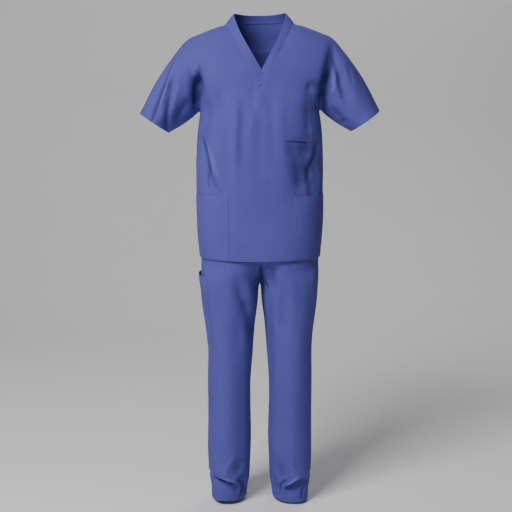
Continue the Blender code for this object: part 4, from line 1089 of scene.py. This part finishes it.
for node in HIGHER:
    top_rows += pocket_rows(pieces[node])
for z in TACK_ROWS:
    top_rows += tack(pieces["chest_pocket"], TACK_ACROSS, z, TACK_LONG)
trouser_rows = pocket_rows(pieces["cargo_pocket"])
for node in TROUSER_PANELS:
    if node != "waistband":
        trouser_rows += rows_at(pieces[node], "hem", HEM_ROW)
sewn_rows = {"top_stitches": stitches("top_stitches", top_rows),
             "trouser_stitches": stitches("trouser_stitches", trouser_rows)}

# %% [markdown]
# ## The cloth's finish
# Scrubs are sewn from plain woven poplin, dyed in one colour. Close to, the weave shows, with painted shade
# in the gaps between the threads; from farther off the dye is a little uneven, and edges and hems are paler
# from rubbing. Raised folds are made paler too, partly for rubbing and partly as a painted highlight, and
# creases and hollows get painted shade. Each of these is a node group, because all the cloth materials use
# them. The groups only give colours and values, and what is the same all over a surface is set on its
# shader.

# %% Helpers for node groups
def new_group(name, inputs, outputs):
    """An empty shader node group with named sockets, and its input and output nodes."""
    tree = bpy.data.node_groups.new(name, "ShaderNodeTree")
    for label, kind, value in inputs:
        socket = tree.interface.new_socket(label, in_out="INPUT", socket_type="NodeSocket" + kind)
        if value is not None:
            socket.default_value = value
    for label, kind in outputs:
        tree.interface.new_socket(label, in_out="OUTPUT", socket_type="NodeSocket" + kind)
    return tree, tree.nodes.new("NodeGroupInput"), tree.nodes.new("NodeGroupOutput")


def feed(tree, socket, value):
    """Sets a socket to a value, or links it to another socket."""
    if isinstance(value, bpy.types.NodeSocket):
        tree.links.new(value, socket)
    else:
        socket.default_value = value


def calc(tree, operation, *values):
    """A math node's result."""
    node = tree.nodes.new("ShaderNodeMath")
    node.operation = operation
    for socket, value in zip(node.inputs, values):
        feed(tree, socket, value)
    return node.outputs[0]


def ramp(tree, value, low, high, from_, to):
    """A value carried smoothly from one range to another."""
    node = tree.nodes.new("ShaderNodeMapRange")
    node.interpolation_type = "SMOOTHSTEP"
    for socket, number in zip(node.inputs, (value, low, high, from_, to)):
        feed(tree, socket, number)
    return node.outputs[0]


def mix(tree, share, first, second):
    """A mix of two colours."""
    node = tree.nodes.new("ShaderNodeMix")
    node.data_type = "RGBA"
    for socket, value in ((node.inputs[0], share), (node.inputs[6], first), (node.inputs[7], second)):
        feed(tree, socket, value)
    return node.outputs[2]


# %% The plain weave
weave, get, give = new_group("plain weave", [("Threads", "Vector", None)],
                             [("Height", "Float"), ("Warp", "Float")])
split = weave.nodes.new("ShaderNodeSeparateXYZ")
feed(weave, split.inputs[0], get.outputs["Threads"])


def thread(across, along, sign):
    """One set of threads: round across each thread, and over or under the others in turn."""
    hump = calc(weave, "ABSOLUTE", calc(weave, "SINE", calc(weave, "MULTIPLY", across, math.pi)))
    turn = calc(weave, "MULTIPLY", calc(weave, "ADD", along, calc(weave, "FLOOR", across)), math.pi)
    over = calc(weave, "MULTIPLY_ADD", calc(weave, "SINE", turn), 0.5 * sign, 0.5)
    return calc(weave, "MULTIPLY", hump, over)


warp, weft = thread(split.outputs[0], split.outputs[1], 1), thread(split.outputs[1], split.outputs[0], -1)
feed(weave, give.inputs["Height"], calc(weave, "MAXIMUM", warp, weft))
feed(weave, give.inputs["Warp"], calc(weave, "GREATER_THAN", warp, weft))

# %% The unevenness of the dye
dye, get, give = new_group("uneven dye", [("Place", "Vector", None), ("Full", "Color", None),
                                          ("Thin", "Color", None)], [("Color", "Color"), ("Slub", "Float")])
clouds = dye.nodes.new("ShaderNodeTexNoise")
slubs = dye.nodes.new("ShaderNodeTexNoise")
stretch = dye.nodes.new("ShaderNodeMapping")
stretch.inputs["Scale"].default_value = (260, 260, 36)      # a slub is a thicker stretch of a warp thread
feed(dye, stretch.inputs["Vector"], get.outputs["Place"])
for node, place, scale, detail in ((clouds, get.outputs["Place"], 7.0, 3.0),
                                   (slubs, stretch.outputs[0], 1.0, 2.0)):
    feed(dye, node.inputs["Vector"], place)
    node.inputs["Scale"].default_value = scale
    node.inputs["Detail"].default_value = detail
cloud_share = ramp(dye, clouds.outputs["Fac"], 0.35, 0.65, 0.0, 0.55)
slub_share = ramp(dye, slubs.outputs["Fac"], 0.45, 0.75, 0.0, 0.35)
feed(dye, give.inputs["Color"], mix(dye, calc(dye, "ADD", cloud_share, slub_share), get.outputs["Full"],
                                    get.outputs["Thin"]))
feed(dye, give.inputs["Slub"], slub_share)

# %% Paler folds and edges from rubbing, with painted highlight and painted shade
wear_and_painted_light, get, give = new_group("rubbing and painted light of folds", [("Color", "Color", None), ("Rubbed and lit", "Color", None),
                                              ("Painted shade", "Color", None), ("Pressed", "Float", 0.0),
                                              ("Crevice", "Float", 0.0), ("Seam", "Float", 1.0),
                                              ("Hem", "Float", 1.0)],
                            [("Color", "Color"), ("Rub and highlight", "Float")])
# raised folds are paler, partly from rubbing and partly as a painted highlight where light falls on them
ridge_rub_and_highlight = ramp(wear_and_painted_light, get.outputs["Pressed"], 1.0, 4.5, 0.0, 0.45)
on_edge = ramp(wear_and_painted_light, get.outputs["Seam"], 0.0002, 0.0012, 0.16, 0.0)
on_hem = ramp(wear_and_painted_light, get.outputs["Hem"], 0.0004, 0.0018, 0.35, 0.0)
rub_and_highlight = calc(wear_and_painted_light, "MAXIMUM", ridge_rub_and_highlight, calc(wear_and_painted_light, "MAXIMUM", on_edge, on_hem))
# painted shade: hollows and the bottoms of crisp creases are mixed towards a dark colour, where shade falls
hollow_shade = ramp(wear_and_painted_light, get.outputs["Pressed"], -18.0, -4.0, 0.75, 0.0)
painted_shade = calc(wear_and_painted_light, "MAXIMUM", hollow_shade, calc(wear_and_painted_light, "MULTIPLY", get.outputs["Crevice"], 0.9))
rubbed_and_lit = mix(wear_and_painted_light, rub_and_highlight, get.outputs["Color"], get.outputs["Rubbed and lit"])
feed(wear_and_painted_light, give.inputs["Color"], mix(wear_and_painted_light, painted_shade, rubbed_and_lit, get.outputs["Painted shade"]))
feed(wear_and_painted_light, give.inputs["Rub and highlight"], rub_and_highlight)
print("effects:", [group.name for group in (weave, dye, wear_and_painted_light)])

# %% The cloth materials
# the pale colour is rubbing at edges and hems, and also a painted highlight on raised folds
FULL, THIN, RUBBED_AND_LIT = (0.072, 0.073, 0.325, 1), (0.085, 0.087, 0.355, 1), (0.145, 0.150, 0.460, 1)
# the dark colour of the painted shade in creases and hollows
PAINTED_SHADE_COLOUR = (0.016, 0.019, 0.110, 1)
# thread colours: painted shade in the grooves of the twist and a painted highlight on its plies
THREAD_GROOVE_SHADE, THREAD_PLY_HIGHLIGHT = (0.085, 0.095, 0.38, 1), (0.125, 0.138, 0.48, 1)
CLOTHS = {
    # full dye, thin dye, rubbing and painted highlight, painted shade in creases, roughness, height of the
    # weave
    "poplin_top": (FULL, THIN, RUBBED_AND_LIT, PAINTED_SHADE_COLOUR, 0.86, 0.00022),
    "poplin_trousers": (FULL, THIN, RUBBED_AND_LIT, PAINTED_SHADE_COLOUR, 0.88, 0.00024),
    "poplin_band": ((0.070, 0.071, 0.320, 1), THIN, RUBBED_AND_LIT, PAINTED_SHADE_COLOUR, 0.84, 0.00018),
}


def use(tree, group):
    """A group's node in a material."""
    node = tree.nodes.new("ShaderNodeGroup")
    node.node_tree = group
    return node


def attribute(tree, name):
    """One of the numbers kept with a mesh, as a socket."""
    node = tree.nodes.new("ShaderNodeAttribute")
    node.attribute_name = name
    return node.outputs["Fac"]


def new_material(name):
    """A node material with its tree and its shader."""
    material = bpy.data.materials.new(name)
    material.use_nodes = True
    return material, material.node_tree, material.node_tree.nodes["Principled BSDF"]


def cloth_material(name, full, thin, rubbed_and_lit, painted_shade, rough, height):
    """Woven, dyed cloth, paler where it rubs, with a painted highlight on raised folds and painted shade
    in creases and hollows.
    """
    material, tree, shader = new_material(name)
    where = tree.nodes.new("ShaderNodeTexCoord")
    threads = tree.nodes.new("ShaderNodeUVMap")
    threads.uv_map = "weave"
    woven, dyed, worn_and_painted_light = use(tree, weave), use(tree, dye), use(tree, wear_and_painted_light)
    feed(tree, woven.inputs["Threads"], threads.outputs[0])
    feed(tree, dyed.inputs["Place"], where.outputs["Object"])
    feed(tree, dyed.inputs["Full"], full)
    feed(tree, dyed.inputs["Thin"], thin)
    feed(tree, worn_and_painted_light.inputs["Color"], dyed.outputs["Color"])
    feed(tree, worn_and_painted_light.inputs["Rubbed and lit"], rubbed_and_lit)
    feed(tree, worn_and_painted_light.inputs["Painted shade"], painted_shade)
    for label in ("Pressed", "Crevice", "Seam", "Hem"):
        feed(tree, worn_and_painted_light.inputs[label], attribute(tree, label.lower()))
    # painted shade: the gaps between the threads are darker, where shade falls between them
    shade = ramp(tree, woven.outputs["Height"], 0.0, 0.7, 0.80, 1.04)       # the gaps are darker
    tone = calc(tree, "MULTIPLY", shade, calc(tree, "MULTIPLY_ADD", woven.outputs["Warp"], 0.05, 0.97))
    shaded = tree.nodes.new("ShaderNodeVectorMath")
    shaded.operation = "SCALE"
    feed(tree, shaded.inputs[0], worn_and_painted_light.outputs["Color"])
    feed(tree, shaded.inputs["Scale"], tone)
    feed(tree, shader.inputs["Base Color"], shaded.outputs[0])
    feed(tree, shader.inputs["Roughness"], calc(tree, "MULTIPLY_ADD", worn_and_painted_light.outputs["Rub and highlight"], -0.10, rough))
    bump = tree.nodes.new("ShaderNodeBump")
    bump.inputs["Distance"].default_value = height
    bump.inputs["Strength"].default_value = 0.6
    feed(tree, bump.inputs["Height"], calc(tree, "ADD", woven.outputs["Height"], dyed.outputs["Slub"]))
    feed(tree, shader.inputs["Normal"], bump.outputs[0])
    shader.inputs["Specular IOR Level"].default_value = 0.22
    shader.inputs["Sheen Weight"].default_value = 0.05
    shader.inputs["Sheen Tint"].default_value = (0.35, 0.38, 0.8, 1)
    shader.inputs["Sheen Roughness"].default_value = 0.5
    return material


cloths = {name: cloth_material(name, *values) for name, values in CLOTHS.items()}
SLOTS = {"top_cloth": "poplin_top", "trouser_cloth": "poplin_trousers", "band_cloth": "poplin_band"}
for node, obj in pieces.items():
    slot = "trouser_cloth" if node in TROUSER_PANELS + ("cargo_pocket",) else "top_cloth"
    slot = "band_cloth" if node in ("neckband", "waistband") else slot
    obj.data.materials.clear()
    obj.data.materials.append(cloths[SLOTS[slot]])

# %% The thread
thread_material, tree, shader = new_material("sewing_thread")
where = tree.nodes.new("ShaderNodeTexCoord")
twist = tree.nodes.new("ShaderNodeTexWave")
twist.inputs["Scale"].default_value = 900.0
twist.inputs["Distortion"].default_value = 1.5
feed(tree, twist.inputs["Vector"], where.outputs["Object"])
# painted highlight and painted shade: the twist's plies are paler and the grooves between them darker
feed(tree, shader.inputs["Base Color"], mix(tree, twist.outputs["Fac"], THREAD_GROOVE_SHADE, THREAD_PLY_HIGHLIGHT))
feed(tree, shader.inputs["Roughness"], ramp(tree, twist.outputs["Fac"], 0.0, 1.0, 0.55, 0.45))
for obj in sewn_rows.values():
    obj.data.materials.append(thread_material)
print("materials:", [m.name for m in bpy.data.materials])

# %% [markdown]
# ## The studio
# Clothing is often shown on a wide sweep of pale paper, floor and wall in one. Two planes would do, but
# they meet in a line behind the set. The lights are large, so the shadows are soft: a strong one from
# the wearer's right that shows the creases, a weak one from the front, and one from behind.

# %% The floor
FLOOR_Z = -1.446
STUDIO_PALE, STUDIO_DUSTY = (0.88, 0.88, 0.89, 1), (0.85, 0.85, 0.86, 1)
SWEEP_RADIUS = 1.2
SWEEP_FRONT, SWEEP_BACK, SWEEP_UP, SWEEP_HALF = 6, 2.6, 3, 9     # metres of paper to each side


def studio_sweep():
    """A pale floor that curves up into a pale wall behind the set."""
    bm = bmesh.new()
    bmesh.ops.create_grid(bm, x_segments=2, y_segments=60, size=1.0)
    length = SWEEP_BACK + SWEEP_FRONT + math.pi / 2 * SWEEP_RADIUS + SWEEP_UP
    for v in bm.verts:
        run = (v.co.y + 1) / 2 * length - SWEEP_FRONT
        v.co.x *= SWEEP_HALF
        bend = max(0.0, min(math.pi / 2, (run - SWEEP_BACK) / SWEEP_RADIUS))
        past = max(0.0, run - SWEEP_BACK - math.pi / 2 * SWEEP_RADIUS)
        v.co.y = min(run, SWEEP_BACK) + SWEEP_RADIUS * math.sin(bend)
        v.co.z = FLOOR_Z + SWEEP_RADIUS * (1 - math.cos(bend)) + past
    for face in bm.faces:
        face.smooth = True
    mesh = bpy.data.meshes.new("studio_floor")
    bm.to_mesh(mesh)
    bm.free()
    return link("studio_floor", mesh)


floor = studio_sweep()
floor_material, tree, shader = new_material("studio_paper")
where = tree.nodes.new("ShaderNodeTexCoord")
grain = tree.nodes.new("ShaderNodeTexNoise")
grain.inputs["Scale"].default_value = 3.0
grain.inputs["Detail"].default_value = 5.0
feed(tree, grain.inputs["Vector"], where.outputs["Object"])
feed(tree, shader.inputs["Base Color"], mix(tree, grain.outputs["Fac"], STUDIO_PALE, STUDIO_DUSTY))
feed(tree, shader.inputs["Roughness"], ramp(tree, grain.outputs["Fac"], 0.3, 0.7, 0.82, 0.92))
floor.data.materials.append(floor_material)

# %% The light
LIGHTS = (
    # name, turn to the wearer's right and height in degrees, metres away, size, watts, colour
    ("key", 36, 40, 4.0, 1.7, 180, (1.0, 0.98, 0.97)),
    ("front", 0, 8, 4.6, 2.0, 18, (1.0, 0.98, 0.98)),
    ("back", 200, 38, 4.6, 2.4, 60, (1.0, 0.99, 0.98)),
)
LIT = Vector((0, 0, -0.7))      # what the lights point at
WORLD_COLOUR, WORLD_STRENGTH = (1.0, 0.98, 0.97, 1), 0.06
for name, turn, lift, away, size, watts, colour in LIGHTS:
    light = bpy.data.objects.new(name, bpy.data.lights.new(name, "AREA"))
    light.data.size, light.data.energy, light.data.color = size, watts, colour
    light.location = LIT + direction(math.radians(turn), math.radians(lift)) * away
    light.rotation_euler = (light.location - LIT).to_track_quat("Z", "Y").to_euler()
    bpy.context.scene.collection.objects.link(light)
world = bpy.data.worlds.new("world")
world.use_nodes = True
world.node_tree.nodes["Background"].inputs["Color"].default_value = WORLD_COLOUR
world.node_tree.nodes["Background"].inputs["Strength"].default_value = WORLD_STRENGTH
bpy.context.scene.world = world
print("lights:", [row[0] for row in LIGHTS])
